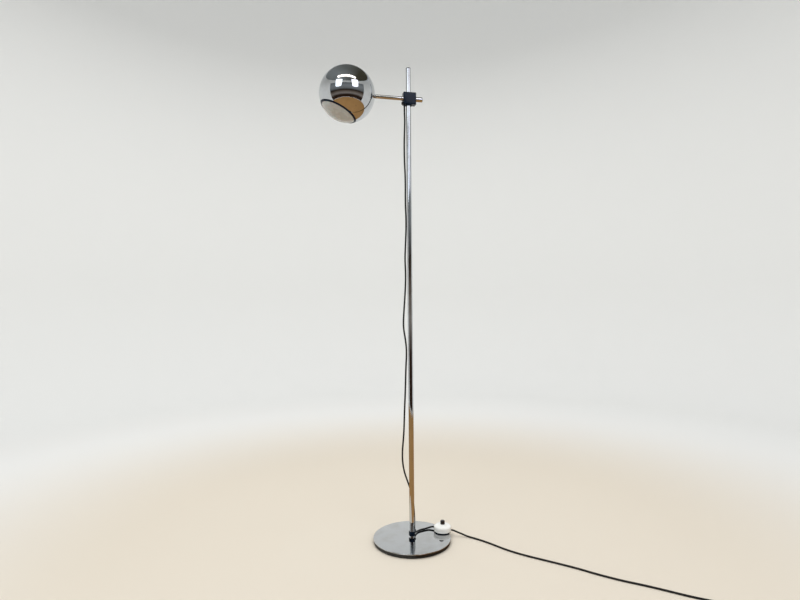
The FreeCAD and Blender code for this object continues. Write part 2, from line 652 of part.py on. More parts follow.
top_height = "switch_base_height + switch_height"
shoulder_height = "switch_base_height + switch_shoulder"
button_hole = "button_diameter / 2 + play"
cover_blank = turned([("switch_diameter / 2 - switch_wall", "switch_base_height"),
                      ("switch_diameter / 2", "switch_base_height"),
                      ("switch_diameter / 2", shoulder_height), ("switch_diameter * 0.37", f"{top_height} - 1.6"),
                      (button_hole, top_height), (button_hole, f"{top_height} - switch_wall"),
                      ("switch_diameter * 0.34", f"{top_height} - 1.2 - switch_wall"),
                      ("switch_diameter / 2 - switch_wall", f"{shoulder_height} - switch_wall / 2")],
                     at=switch_place, rounds=[("3", [2, 3]), ("0.8", [1])])
boss_radius = f"{screw_radius} + 1.8"
bosses = [cylinder(boss_radius, f"{shoulder_height} + 3 - switch_base_height",
                   round_switch(screw_reach, degrees, "switch_base_height")) for degrees in screw_angles]
boss_bores = [cylinder(f"{screw_radius} + seat_gap", "switch_screw_length",
                       round_switch(screw_reach, degrees, "switch_base_height - 1")) for degrees in screw_angles]
wall_holes = [cylinder("cord_diameter / 2 + play", "switch_diameter / 2 + 3", in_switch(height=str(lead_height)),
                       Rotation(Vector(0, 0, 1), lead_direction(degrees)))
              for degrees in (lead_in_angle, lead_out_angle)]
keep(cut(fuse(cover_blank, *bosses), *boss_bores, *wall_holes), "switch_cover")

screws = [fuse(cylinder(screw_radius, "switch_screw_length", round_switch(screw_reach, degrees, "0.5")),
               cylinder(f"{screw_radius} * 2", "switch_base_height * 0.8 - 0.5",
                        round_switch(screw_reach, degrees, "0.5")))
          for degrees in screw_angles]
keep(fuse(*screws), "switch_screws")
keep(box("mechanism_length", "mechanism_width", "mechanism_height", in_switch(height="switch_base_height")),
     "switch_mechanism")
terminal_reach = "switch_diameter / 2 - 8.5"
terminals = [box("terminal_size", "terminal_size", "terminal_size * 2",
                 round_switch(terminal_reach, degrees, "switch_base_height"))
             for degrees in (lead_in_angle, lead_out_angle)]
keep(fuse(*terminals), "switch_terminals")

flange_base = f"{top_height} - switch_wall - button_flange - play"
button_bottom = f"{flange_base} + play - button_stem_length"
flange_radius = "button_diameter / 2 + button_flange_width"
keep(turned([("0", button_bottom), ("button_stem_radius", button_bottom), ("button_stem_radius", flange_base),
             (flange_radius, flange_base), (flange_radius, f"{flange_base} + button_flange"),
             ("button_diameter / 2", f"{flange_base} + button_flange"),
             ("button_diameter / 2", f"{top_height} + button_rise"), ("0", f"{top_height} + button_rise")],
            at=switch_place, rounds=[("button_diameter / 9", [6])]), "switch_button")
spring_bottom = "switch_base_height + mechanism_height"
spring_radius = "spring_diameter / 2"
keep(turned([(f"{spring_radius} - 1", spring_bottom), (spring_radius, spring_bottom),
             (spring_radius, f"{flange_base} - play / 2"), (f"{spring_radius} - 1", f"{flange_base} - play / 2")],
            at=switch_place), "switch_spring")

# cord clip at the pole's foot

clip_bottom = f"{disc_top} + clip_lift"
eye_bottom = f"{clip_bottom} + clip_height - eye_height"
eye_x = "eye_reach * cos(eye_angle)"
eye_y = "eye_reach * sin(eye_angle)"
eye_radius = f"({lead_radius} + eye_gap + eye_wall)"
clip_ring = turned([("pole_diameter / 2 + seat_gap", "0"), ("clip_diameter / 2", "0"),
                    ("clip_diameter / 2", "clip_height"), ("pole_diameter / 2 + seat_gap", "clip_height")],
                   at=("0", "0", clip_bottom), rounds=[("1", [1, 2])])
lug_turn = Rotation(Vector(0, 0, 1), sizes["eye_angle"])
lug = doc.addObject("Part::Box", "Lug")
bind(lug, {"Length": "eye_reach", "Width": "eye_wall * 2.5", "Height": "eye_height"})
put(lug, ("eye_wall * 1.25 * sin(eye_angle)", "0 - eye_wall * 1.25 * cos(eye_angle)", eye_bottom), lug_turn)
keep(cut(fuse(clip_ring, lug, cylinder(eye_radius, "eye_height", (eye_x, eye_y, eye_bottom))),
         cylinder(f"{lead_radius} + eye_gap", "clip_height + 2", (eye_x, eye_y, f"{clip_bottom} - 1")),
         cylinder("pole_diameter / 2 + seat_gap", "clip_height + 2", ("0", "0", f"{clip_bottom} - 1"))), "cord_clip")

# leads


def pipe(edges):
    """A round lead along tangent lines and arcs."""
    wire = Part.Wire(edges)
    first = wire.OrderedEdges[0]
    start = first.valueAt(first.FirstParameter)
    ring = Part.Wire(Part.makeCircle(sizes["cord_diameter"] / 2, start, first.tangentAt(first.FirstParameter)))
    return wire.makePipeShell([ring], True, False), wire.Length


def route_edges(points, name):
    """Straight runs joined by arcs, each as large as its two runs allow."""
    points = [Vector(*point) for point in points]
    edges = []
    last = points[0]
    radii = []
    for before, corner, after in zip(points, points[1:], points[2:]):
        back = (before - corner).normalize()
        ahead = (after - corner).normalize()
        half_turn = (math.pi - back.getAngle(ahead)) / 2
        reach = 0.45 * min(before.distanceToPoint(corner), after.distanceToPoint(corner))
        radius = reach / math.tan(half_turn)
        radii.append(radius)
        start = corner + back * reach
        end = corner + ahead * reach
        to_centre = (back + ahead).normalize()
        middle = corner + to_centre * (radius / math.cos(half_turn) - radius)
        if last.distanceToPoint(start) > 1e-6:
            edges.append(Part.makeLine(last, start))
        edges.append(Part.Arc(start, middle, end).toShape())
        last = end
    edges.append(Part.makeLine(last, points[-1]))
    print(name, "arc radii", " ".join(f"{radius:.0f}" for radius in radii))
    return edges


def keep_lead(edges, node):
    shape, length = pipe(edges)
    section = math.pi * (sizes["cord_diameter"] / 2) ** 2
    print(node, f"length {length:.1f}, volume over section times length {shape.Volume / (section * length):.4f}")
    feature = doc.addObject("Part::Feature", "Lead")
    feature.Shape = shape
    keep(feature, node)


level = sizes["clamp_height"]
floor_level = sizes["cord_diameter"] / 2 + 0.05
base_top = sizes["felt_thickness"] + sizes["weight_thickness"] + sizes["cover_thickness"]
exit_x = (sizes["block_shift"] - sizes["block_width"] / 2 + sizes["arm_socket_depth"]
          - sizes["cord_diameter"] / 2 - sizes["cord_gap"] + sizes["play"])
exit_z = level - sizes["block_height"] / 2
pivot_at = sizes["ball_radius"] - sizes["ball_reach"] - sizes["pivot_depth"]
stem_end = pivot_at - sizes["joint_ball_radius"] - sizes["play"] - sizes["stem_nut_thickness"]

# inside the arm the lead runs from the stem's end to the block and turns down its channel
lead_bend = 7
bend_start = Vector(exit_x - lead_bend, 0, level)
bend_end = Vector(exit_x, 0, level - lead_bend)
bend_middle = bend_start + Vector(math.sin(math.pi / 4), 0, math.cos(math.pi / 4) - 1) * lead_bend
keep_lead([Part.makeLine(Vector(stem_end, 0, level), bend_start),
           Part.Arc(bend_start, bend_middle, bend_end).toShape(),
           Part.makeLine(bend_end, Vector(exit_x, 0, exit_z))], "arm_lead")

# outside it hangs beside the pole, slack enough to wander, and crosses behind the pole
# near the floor, down through the clip's eye and over the base into the switch
eye = lead_direction(sizes["eye_angle"]) * sizes["eye_reach"]
inlet = Vector(sizes["switch_forward"], sizes["switch_side"], base_top + lead_height)
lead_in = lead_direction(lead_in_angle)
lead_out = lead_direction(lead_out_angle)
housing_radius = sizes["switch_diameter"] / 2
drop_route = [(exit_x, 0, exit_z), (exit_x, 0, 1386), (-12.5, 0.3, 1358), (-13.6, 0.3, 1328), (-15.1, 0.5, 1288),
              (-14.9, 1.4, 1235), (-11.8, 1.7, 1167), (-12.6, 2.9, 1096), (-9.1, 6.8, 1030), (-11.6, 5.8, 970),
              (-15.0, 5.5, 912), (-12.4, 4.9, 860), (-15.0, 5.5, 800), (-19.8, 6.6, 736), (-21.8, 7.1, 690),
              (-14.8, 5.5, 650), (-11.3, 5.7, 610), (-14.5, 6.4, 558), (-16.3, 7.9, 488), (-19.5, 9.6, 418),
              (-21.6, 11.1, 345), (-27.9, 14.7, 275), (-22.4, 16.5, 226), (-10.3, 15.2, 190), (1.1, 13.8, 158),
              (7.7, 11.1, 125), (9.7, 9.8, 95), (11.2, 10.6, 67), (eye.x, eye.y, 44), (eye.x, eye.y, 19.6),
              (20.0, 23.5, 18.0), (30.5, 32.5, 17.0), (42.5, 37.4, 17.2), (57.0, 40.9, 17.0), (71.0, 45.6, 18.0),
              tuple(inlet + lead_in * (housing_radius + 8)), tuple(inlet + lead_in * (housing_radius - 5))]

# the stretch that follows the clamp round the pole is a piece of its own, down to the middle of a run
upper_points = 4
split = tuple((Vector(*drop_route[upper_points - 1]) + Vector(*drop_route[upper_points])) * 0.5)
keep_lead(route_edges(drop_route[:upper_points] + [split], "cord_upper"), "cord_upper")
keep_lead(route_edges([split] + drop_route[upper_points:], "cord_riser"), "cord_riser")

# from the switch it drops past the base's edge and lies on the floor
coil_centre = Vector(696, -607, 0)
coil_start_angle = math.radians(50.6)
coil_turns = sizes["coil_turns"]
turns_in = coil_turns / 2
pitch = sizes["coil_pitch"]
coil_level = floor_level + sizes["coil_lift"]


def coil_point(turned_by):
    """The coil's middle line, turned_by in turns, clockwise seen from above: it spirals in,
    climbs a layer in the half turn where it reverses, and spirals out on top."""
    radius = sizes["coil_inner_radius"] + pitch * abs(turned_by - turns_in)
    climb = min(max(2 * (turned_by - turns_in) + 0.5, 0), 1)
    angle = coil_start_angle - 2 * math.pi * turned_by
    return coil_centre + Vector(radius * math.cos(angle), radius * math.sin(angle), coil_level + pitch * climb)


def coil_tangent(turned_by):
    step = 0.125
    return (coil_point(turned_by + step) - coil_point(turned_by - step)).normalize()


def arc_from(start, tangent, end):
    """The arc from start, leaving along tangent, to end."""
    chord = end - start
    normal = (chord - tangent * chord.dot(tangent)).normalize()
    radius = chord.dot(chord) / (2 * chord.dot(normal))
    centre = start + normal * radius
    middle = centre + ((start - centre).normalize() + (end - centre).normalize()).normalize() * radius
    return Part.Arc(start, middle, end).toShape()


def biarc(start, leaving, end, arriving):
    """Two tangent arcs from start to end with the given directions."""
    chord = end - start
    both = leaving + arriving
    a = 2 * (leaving.dot(arriving) - 1)
    b = -2 * chord.dot(both)
    c = chord.dot(chord)
    reach = (-b - math.sqrt(b * b - 4 * a * c)) / (2 * a)
    joint = (start + leaving * reach + end - arriving * reach) * 0.5
    second = arc_from(end, arriving * -1, joint)
    return [arc_from(start, leaving, joint), second]


stops = [0.25 * k for k in range(int(coil_turns * 4) + 1)]
coil_edges = []
for here, there in zip(stops, stops[1:]):
    coil_edges += biarc(coil_point(here), coil_tangent(here), coil_point(there), coil_tangent(there))
lead_away = coil_tangent(coil_turns)
tail_start = coil_point(coil_turns)

approach = coil_tangent(0)
coil_entry = coil_point(0)
floor_route = [tuple(inlet + lead_out * (housing_radius - 5)), tuple(inlet + lead_out * (housing_radius + 5)),
               (152, -6.2, 15.2), (166.5, -11.5, 9.8), (182, -20.5, 3.8), (200.2, -36.9, floor_level),
               (221.5, -64.5, floor_level), (240.6, -93.7, floor_level), (265.6, -136.1, floor_level),
               (300.4, -180.1, floor_level), (356.9, -235.0, floor_level), (415.6, -293.5, floor_level),
               (450.4, -336.5, floor_level), (498.1, -385.3, floor_level), (532.6, -413.6, floor_level),
               (567.4, -445.3, floor_level), (616.7, -494.7, floor_level), (655.2, -526.3, floor_level),
               tuple(coil_entry - approach * 36 + Vector(-1.2, -1.2, -0.6)), tuple(coil_entry - approach * 12),
               tuple(coil_entry)]
keep_lead(route_edges(floor_route, "cord_floor"), "cord_floor")

plug_level = sizes["plug_thickness"] / 2 + 0.1
flat_away = Vector(lead_away.x, lead_away.y, 0).normalize()
plug_start = tail_start + flat_away * (sizes["relief_length"] + 40)
plug_start.z = plug_level
tail_route = [tuple(tail_start), tuple(tail_start + lead_away * 14),
              tuple(plug_start - flat_away * (sizes["relief_length"] + 8)), tuple(plug_start)]
keep_lead(coil_edges + route_edges(tail_route, "coil tail"), "cord_coil")

samples = [coil_point(k / 48) for k in range(int(coil_turns * 48) + 1)]
least = min(one.distanceToPoint(other) for k, one in enumerate(samples) for other in samples[k + 36:])
print(f"coil: least gap between turns {least - sizes['cord_diameter']:.2f}")

# a tie round the coil's bundle, on the side away from the plug
tie_turn = Rotation(Vector(0, 0, 1), math.degrees(coil_start_angle) - 200)
bundle_inner = "coil_inner_radius - cord_diameter / 2 - 3 * play"
bundle_outer = "coil_inner_radius + coil_pitch * coil_turns / 2 + cord_diameter / 2 + 3 * play"
bundle_bottom = "coil_lift - play"
bundle_top = "coil_lift + coil_pitch + cord_diameter + 2 * play"
bundle_middle = f"({bundle_inner} + {bundle_outer}) / 2"
bundle_width = f"{bundle_outer} - ({bundle_inner})"
bundle_height = f"{bundle_top} - ({bundle_bottom})"
tie = cut(box(f"{bundle_width} + 2 * tie_thickness", "tie_width", f"{bundle_height} + 2 * tie_thickness",
              (bundle_middle, "0", f"{bundle_bottom} - tie_thickness")),
          box(bundle_width, "tie_width + 2", bundle_height, (bundle_middle, "0", bundle_bottom)))
tie.Placement = Placement(coil_centre, tie_turn)
keep(tie, "coil_tie")

# a flat two-pin plug at the end, with a tapered relief moulded round the lead
nose = doc.addObject("Part::Wedge", "Nose")
bind(nose, {"Xmin": "0 - plug_nose_width / 2", "Xmax": "plug_nose_width / 2",
            "X2min": "0 - plug_width / 2", "X2max": "plug_width / 2", "Ymin": "0", "Ymax": "plug_nose_length",
            "Zmin": "0", "Zmax": "plug_thickness", "Z2min": "0", "Z2max": "plug_thickness"})
shell = fuse(put(nose, ("0", "0", "0 - plug_thickness / 2")),
             box("plug_width", "plug_length - plug_nose_length", "plug_thickness",
                 ("0", "(plug_length + plug_nose_length) / 2", "0 - plug_thickness / 2")))
doc.recompute()
rounded = doc.addObject("Part::Fillet", "PlugEdges")
rounded.Base = shell
rounded.Edges = [(number, sizes["plug_rounding"], sizes["plug_rounding"])
                 for number, edge in enumerate(shell.Shape.Edges, start=1)
                 if edge.BoundBox.YMin > 1 and edge.BoundBox.YMax < sizes["plug_length"] - 1
                 or edge.BoundBox.YMin > 1 and abs(edge.tangentAt(edge.FirstParameter).z) > 0.9]
relief = cone(f"{lead_radius} + relief_wall / 2", f"{lead_radius} + relief_wall", "relief_length",
              ("0", "0 - relief_length", "0"), along_y)
pin_places = [(f"pin_spacing * {side} / 2", "plug_length - 8", "0") for side in (-1, 1)]
pins = [cylinder("pin_diameter / 2", "pin_length + 8", place, along_y) for place in pin_places]
pin_holes = [cylinder("pin_diameter / 2 + seat_gap", "9", place, along_y) for place in pin_places]
lead_hole = cylinder(f"{lead_radius} + seat_gap", "relief_length + 1", ("0", "0 - relief_length - 1", "0"), along_y)
plug = cut(fuse(rounded, relief), *pin_holes, lead_hole)
pin_pair = fuse(*pins)
plug_turn = Rotation(Vector(0, 1, 0), flat_away)
for feature, node in ((plug, "plug_body"), (pin_pair, "plug_pins")):
    feature.Placement = Placement(plug_start, plug_turn)
    keep(feature, node)

# inside the shade a short lead goes on from the stem to the lampholder
tilt = math.radians(sizes["mouth_tilt"])
shade_up = Vector(math.sin(tilt), 0, math.cos(tilt))
ball_middle = Vector(-sizes["ball_reach"], 0, level)
mouth_side = Vector(math.cos(tilt), 0, -math.sin(tilt))
holder_side = ball_middle + shade_up * 52 + mouth_side * (sizes["holder_diameter"] / 2 + 0.2)
shade_route = [(stem_end - 0.4, 0, level), (stem_end - 13, 0, level + 1), tuple(holder_side + mouth_side * 13),
               tuple(holder_side)]
keep_lead(route_edges(shade_route, "shade_lead"), "shade_lead")

# check and write

doc.recompute()
for feature in doc.Objects:
    if "Invalid" in feature.State or "Error" in feature.State:
        raise RuntimeError(f"{feature.Label} is {feature.State}")
os.makedirs("parts", exist_ok=True)
for node, feature in subparts.items():
    shape = feature.Shape
    if shape.isNull() or not shape.isValid():
        raise RuntimeError(f"{node} has no valid shape")
    shape.exportStep(f"parts/{node}.step")
    print(f"{node}: {len(shape.Solids)} solid(s), volume {shape.Volume:.1f}")
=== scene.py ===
import json
import math

import bmesh
import bpy
from mathutils import Matrix, Vector


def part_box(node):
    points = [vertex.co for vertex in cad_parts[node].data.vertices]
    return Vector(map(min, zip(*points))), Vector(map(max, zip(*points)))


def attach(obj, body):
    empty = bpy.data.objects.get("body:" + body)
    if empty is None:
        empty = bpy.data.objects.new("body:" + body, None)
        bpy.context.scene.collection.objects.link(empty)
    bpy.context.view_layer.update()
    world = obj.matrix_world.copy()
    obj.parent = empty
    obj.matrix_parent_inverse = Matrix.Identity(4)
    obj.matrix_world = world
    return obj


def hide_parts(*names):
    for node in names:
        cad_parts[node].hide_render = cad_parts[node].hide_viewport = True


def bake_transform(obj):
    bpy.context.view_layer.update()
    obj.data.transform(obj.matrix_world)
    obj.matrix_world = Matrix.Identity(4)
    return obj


# A floor lamp: a chromed ball shade on a short arm, a black clamp block on a slim pole,
# a round weighted base with a foot switch, and its black lead.
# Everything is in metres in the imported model's frame. Piece sizes are in millimetres.
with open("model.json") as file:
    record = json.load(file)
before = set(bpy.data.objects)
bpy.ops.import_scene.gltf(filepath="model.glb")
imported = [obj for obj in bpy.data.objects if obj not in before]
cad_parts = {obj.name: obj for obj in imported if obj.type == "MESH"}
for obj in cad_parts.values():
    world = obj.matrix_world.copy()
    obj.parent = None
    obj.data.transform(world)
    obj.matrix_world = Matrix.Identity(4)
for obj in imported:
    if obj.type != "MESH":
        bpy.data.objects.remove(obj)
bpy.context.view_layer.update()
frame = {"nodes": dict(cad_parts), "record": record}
nodes = frame["nodes"]
mm = 0.001
seatGap = 0.05  # millimetres between pieces that fit


def spanOf(node):
    low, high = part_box(node)
    return low, high, (low + high) / 2


# camera: the photograph's place, eye and field of view

camera = {
    "place": (-0.42394, -1.69405, 0.7765),
    "right": (0.97434, -0.22494, -0.00838),
    "up": (0.00817, -0.00188, 0.99996),
    "lens": 24.3,  # on a sensor 36 mm wide
    "sensor": 36,
    "shift": (-0.00025, 0.001),
}
right = Vector(camera["right"]).normalized()
up = Vector(camera["up"])
back = right.cross(up).normalized()
up = back.cross(right)
cameraData = bpy.data.cameras.new("photoCamera")
cameraData.lens = camera["lens"]
cameraData.sensor_width = camera["sensor"]
cameraData.shift_x, cameraData.shift_y = camera["shift"]
cameraObject = bpy.data.objects.new("photoCamera", cameraData)
bpy.context.scene.collection.objects.link(cameraObject)
cameraObject.matrix_world = Matrix.Translation(camera["place"]) @ Matrix((right, up,
                                                                          back)).transposed().to_4x4()
bpy.context.scene.camera = cameraObject
bpy.context.scene.view_settings.view_transform = "Standard"
print("camera placed")


# materials

def linear(hexValue):
    parts = [int(hexValue[k:k + 2], 16) / 255 for k in (1, 3, 5)]
    return (*[part / 12.92 if part <= 0.04045 else ((part + 0.055) / 1.055) ** 2.4 for part in parts], 1)


def perMetre(size):
    return 1 / (size * mm)  # a texture's scale from the size of its grain in millimetres


def addNode(tree, kind, inputs, stops=(), **settings):
    # one node with its settings; each input is a value or another node's output
    node = tree.nodes.new(kind)
    for name, value in settings.items():
        setattr(node, name, value)
    for socket, value in inputs.items():
        if isinstance(value, bpy.types.NodeSocket):
            tree.links.new(value, node.inputs[socket])
        else:
            node.inputs[socket].default_value = value
    for k, (place, value) in enumerate(stops):
        stop = node.color_ramp.elements[k] if k < 2 else node.color_ramp.elements.new(place)
        stop.position = place
        stop.color = linear(value) if isinstance(value, str) else (value, value, value, 1)
    return node


def newMaterial(name, colour, **values):
    # a material whose plain values go straight onto its shader
    material = bpy.data.materials.new(name)
    material.use_nodes = True
    tree = material.node_tree
    shader = tree.nodes["Principled BSDF"]
    shader.inputs["Base Color"].default_value = linear(colour)
    for socket, value in values.items():
        shader.inputs[socket.replace("_", " ")].default_value = value
    place = tree.nodes.new("ShaderNodeTexCoord").outputs["Object"]
    return material, tree, shader, place


def grainBump(tree, shader, place, size, depth, detail=3.0):
    # a fine unevenness of the surface: grain size and depth in millimetres
    grain = addNode(tree, "ShaderNodeTexNoise", {"Vector": place, "Scale": perMetre(size), "Detail": detail})
    bump = addNode(tree, "ShaderNodeBump", {"Height": grain.outputs["Fac"], "Strength": 1.0,
                                            "Distance": depth * mm})
    tree.links.new(bump.outputs["Normal"], shader.inputs["Normal"])
    return grain, bump


def patchyRoughness(tree, shader, place, size, low, high, detail=4.0):
    # roughness that wanders between two values over patches of the given size
    patches = addNode(tree, "ShaderNodeTexNoise", {"Vector": place, "Scale": perMetre(size),
                                                   "Detail": detail})
    spread = addNode(tree, "ShaderNodeMapRange", {"Value": patches.outputs["Fac"], "From Min": 0.35,
                                                  "From Max": 0.65,
                                                  "To Min": low, "To Max": high})
    tree.links.new(spread.outputs["Result"], shader.inputs["Roughness"])
    return patches


finishes = {}

# chrome plate, polished: a dark mirror, a little bluish, with the film of wiped hands and hairline marks
chromePlate, tree, shader, place = newMaterial("chromePlate", "#C6C9CD", Metallic=1.0, Roughness=0.05)
smears = patchyRoughness(tree, shader, place, 34, 0.035, 0.075, detail=6.0)
dulled = addNode(tree, "ShaderNodeMapRange", {"Value": smears.outputs["Fac"], "From Min": 0.45,
                                              "From Max": 0.75})
tone = addNode(tree, "ShaderNodeMix", {0: dulled.outputs["Result"], 6: linear("#C8CBCF"),
                                       7: linear("#BDBEBF")},
               data_type="RGBA")
tree.links.new(tone.outputs[2], shader.inputs["Base Color"])
grainBump(tree, shader, place, 9, 0.0012, detail=2.0)
finishes["chrome"] = chromePlate

# zinc plate on pressed steel: grey, spangled, half dull
zincPlate, tree, shader, place = newMaterial("zincPlate", "#9C9EA0", Metallic=1.0, Roughness=0.38)
patchyRoughness(tree, shader, place, 3, 0.3, 0.48)
grainBump(tree, shader, place, 1.2, 0.01)
finishes["steel"] = zincPlate

# cast iron under black stoved enamel: near black, softly shiny, faintly pebbled
stovedIron, tree, shader, place = newMaterial("stovedIron", "#0C0B0B", Roughness=0.42)
patchyRoughness(tree, shader, place, 14, 0.34, 0.5)
grainBump(tree, shader, place, 1.6, 0.05)
finishes["cast_weight"] = stovedIron

# pressed wool felt: dark grey, matt, with short fibres standing up
woolFelt, tree, shader, place = newMaterial("woolFelt", "#101012", Roughness=0.95, Sheen_Weight=0.35,
                                            Sheen_Roughness=0.6)
fibres, _ = grainBump(tree, shader, place, 0.7, 0.25, detail=6.0)
flecks = addNode(tree, "ShaderNodeValToRGB", {"Fac": fibres.outputs["Fac"]},
                 stops=((0.35, "#0B0B0D"), (0.7, "#18181A")))
tree.links.new(flecks.outputs["Color"], shader.inputs["Base Color"])
finishes["felt"] = woolFelt

# moulded nylon, blue-black: a near-black whose blue tint is a painted reflection of bluish daylight;
# semi-gloss, with the slight orange peel of the mould
mouldedNylon, tree, shader, place = newMaterial("mouldedNylon", "#0F1926", Roughness=0.14, IOR=1.5,
                                                Specular_IOR_Level=0.12)
patchyRoughness(tree, shader, place, 6, 0.1, 0.17)
grainBump(tree, shader, place, 1.4, 0.004)
finishes["black_plastic"] = mouldedNylon

# nylon screw: the same black, rubbed a little duller by the driver
screwNylon, tree, shader, place = newMaterial("screwNylon", "#131417", Roughness=0.36, IOR=1.53)
patchyRoughness(tree, shader, place, 2, 0.28, 0.5)
grainBump(tree, shader, place, 0.8, 0.015)
finishes["screw_plastic"] = screwNylon

# white urea moulding: dense, hard and glossy, very slightly warm
whiteUrea, tree, shader, place = newMaterial("whiteUrea", "#F1F1EC", Roughness=0.2, IOR=1.55,
                                             Coat_Weight=0.35,
                                             Coat_Roughness=0.08)
patchyRoughness(tree, shader, place, 9, 0.16, 0.27)
handled = addNode(tree, "ShaderNodeTexNoise", {"Vector": place, "Scale": perMetre(16), "Detail": 4.0})
yellowed = addNode(tree, "ShaderNodeValToRGB", {"Fac": handled.outputs["Fac"]},
                   stops=((0.4, "#F2F2EE"), (0.75, "#EAE8DF")))
tree.links.new(yellowed.outputs["Color"], shader.inputs["Base Color"])
grainBump(tree, shader, place, 4, 0.004)
finishes["white_plastic"] = whiteUrea

# phenolic moulding: brown-black, hard, with a low shine
phenolic, tree, shader, place = newMaterial("phenolic", "#0F0907", Roughness=0.3, IOR=1.58)
patchyRoughness(tree, shader, place, 5, 0.24, 0.4)
grainBump(tree, shader, place, 1.1, 0.008)
finishes["holder_plastic"] = phenolic

# opal acrylic, vacuum formed: milky, softly shiny, light sinks a little way in; its greige colour is painted
# shade of the downward face and a painted reflection of a brown floor
opalAcrylic, tree, shader, place = newMaterial("opalAcrylic", "#A5A199", Roughness=0.26, IOR=1.49,
                                               Subsurface_Weight=0.15, Subsurface_Scale=0.003,
                                               Coat_Weight=0.3,
                                               Coat_Roughness=0.1)
cloud = addNode(tree, "ShaderNodeTexNoise", {"Vector": place, "Scale": perMetre(70), "Detail": 2.0})
# painted shade and painted floor reflection: these greige tones darken the opal's white, varied at random over
# broad patches
shadedGreige = addNode(tree, "ShaderNodeValToRGB", {"Fac": cloud.outputs["Fac"]},
                stops=((0.3, "#A39F97"), (0.7, "#A8A59E")))
tree.links.new(shadedGreige.outputs["Color"], shader.inputs["Base Color"])
patchyRoughness(tree, shader, place, 30, 0.23, 0.29)
grainBump(tree, shader, place, 12, 0.002, detail=2.0)
finishes["opal_plastic"] = opalAcrylic

# frosted lamp glass: white, etched inside, smooth outside
frostedGlass, tree, shader, place = newMaterial("frostedGlass", "#ECEBE6", Roughness=0.35, IOR=1.5,
                                                Transmission_Weight=0.3)
patchyRoughness(tree, shader, place, 5, 0.3, 0.42)
finishes["bulb_glass"] = frostedGlass

# turned brass: yellow, with fine tool marks
turnedBrass, tree, shader, place = newMaterial("turnedBrass", "#D8B469", Metallic=1.0, Roughness=0.24)
patchyRoughness(tree, shader, place, 2, 0.2, 0.32)
grainBump(tree, shader, place, 0.5, 0.008)
finishes["brass"] = turnedBrass

# soft vinyl jacket of the lead: black, dusty in places, with a low broken shine
vinylJacket, tree, shader, place = newMaterial("vinylJacket", "#070708", Roughness=0.5, IOR=1.46)
patchyRoughness(tree, shader, place, 11, 0.42, 0.58)
dusty = addNode(tree, "ShaderNodeTexNoise", {"Vector": place, "Scale": perMetre(45), "Detail": 5.0})
dusted = addNode(tree, "ShaderNodeValToRGB", {"Fac": dusty.outputs["Fac"]},
                 stops=((0.45, "#060607"), (0.8, "#100F0F")))
tree.links.new(dusted.outputs["Color"], shader.inputs["Base Color"])
grainBump(tree, shader, place, 1.5, 0.02)
finishes["cord_jacket"] = vinylJacket

# the plug's moulded vinyl: black, satin, finely sparked
plugVinyl, tree, shader, place = newMaterial("plugVinyl", "#121214", Roughness=0.48, IOR=1.52)
patchyRoughness(tree, shader, place, 7, 0.4, 0.56)
grainBump(tree, shader, place, 0.6, 0.02)
finishes["plug_plastic"] = plugVinyl

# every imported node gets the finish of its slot, whether a finer piece replaces it or not
for part in frame["record"]["subparts"]:
    slots = nodes[part["node"]].data.materials
    slots.clear()
    slots.append(finishes[part["material_slot"]])
slotOf = {part["node"]: part["material_slot"] for part in frame["record"]["subparts"]}
print("materials made:", len(finishes))


# making pieces

def outlineMesh(outline, steps=96, segments=5):
    # a closed outline of (radius, height, rounding) in millimetres, rounded at its corners and spun about Z
    bm = bmesh.new()
    corners = [bm.verts.new((radius * mm, 0, height * mm)) for radius, height, *_ in outline]
    for start, end in zip(corners, corners[1:]):
        bm.edges.new((start, end))
    if outline[0][0] > 0 or outline[-1][0] > 0:
        bm.edges.new((corners[-1], corners[0]))
    for corner, (_, _, *rounding) in zip(corners, outline):
        if rounding:
            bmesh.ops.bevel(bm, geom=[corner], offset=rounding[0] * mm, offset_type="OFFSET",
                            segments=segments,
                            profile=0.5, affect="VERTICES", material=-1)
    bmesh.ops.spin(bm, geom=bm.verts[:] + bm.edges[:], cent=(0, 0, 0), axis=(0, 0, 1), angle=math.tau,
                   steps=steps,
                   use_merge=True)
    bmesh.ops.remove_doubles(bm, verts=bm.verts[:], dist=1e-6)
    bmesh.ops.recalc_face_normals(bm, faces=bm.faces[:])
    return bm


def putDown(bm, name, body, standsFor, finish=None, place=None, sharp=35, extra=None):
    # make the mesh an object at the origin, with its place in its mesh, riding on its body
    if place:
        bmesh.ops.transform(bm, matrix=place, verts=bm.verts[:])
    mesh = bpy.data.meshes.new(name)
    bm.to_mesh(mesh)
    bm.free()
    piece = bpy.data.objects.new(name, mesh)
    bpy.context.scene.collection.objects.link(piece)
    if extra:
        extra(piece)
        mesh = bpy.data.meshes.new_from_object(piece.evaluated_get(bpy.context.evaluated_depsgraph_get()))
        mesh.name = name
        piece.modifiers.clear()
        piece.data = mesh
    mesh.shade_smooth()
    mesh.set_sharp_from_angle(angle=math.radians(sharp))
    mesh.materials.clear()
    mesh.materials.append(finish or finishes[slotOf[standsFor[0]]])
    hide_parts(*standsFor)
    if body:
        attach(piece, body)
    return piece


def drill(piece, cutters):
    # cut the closed meshes of the cutters out of a piece
    bpy.context.view_layer.update()
    for number, cutter in enumerate(cutters):
        mesh = bpy.data.meshes.new("cutter")
        cutter.to_mesh(mesh)
        cutter.free()
        tool = bpy.data.objects.new("cutter", mesh)
        bpy.context.scene.collection.objects.link(tool)
        hole = piece.modifiers.new(f"hole{number}", "BOOLEAN")
        hole.operation = "DIFFERENCE"
        hole.solver = "EXACT"
        hole.object = tool
        bpy.context.view_layer.update()
        mesh = bpy.data.meshes.new_from_object(piece.evaluated_get(bpy.context.evaluated_depsgraph_get()))
        piece.modifiers.clear()
        piece.data = mesh
        bpy.data.objects.remove(tool)


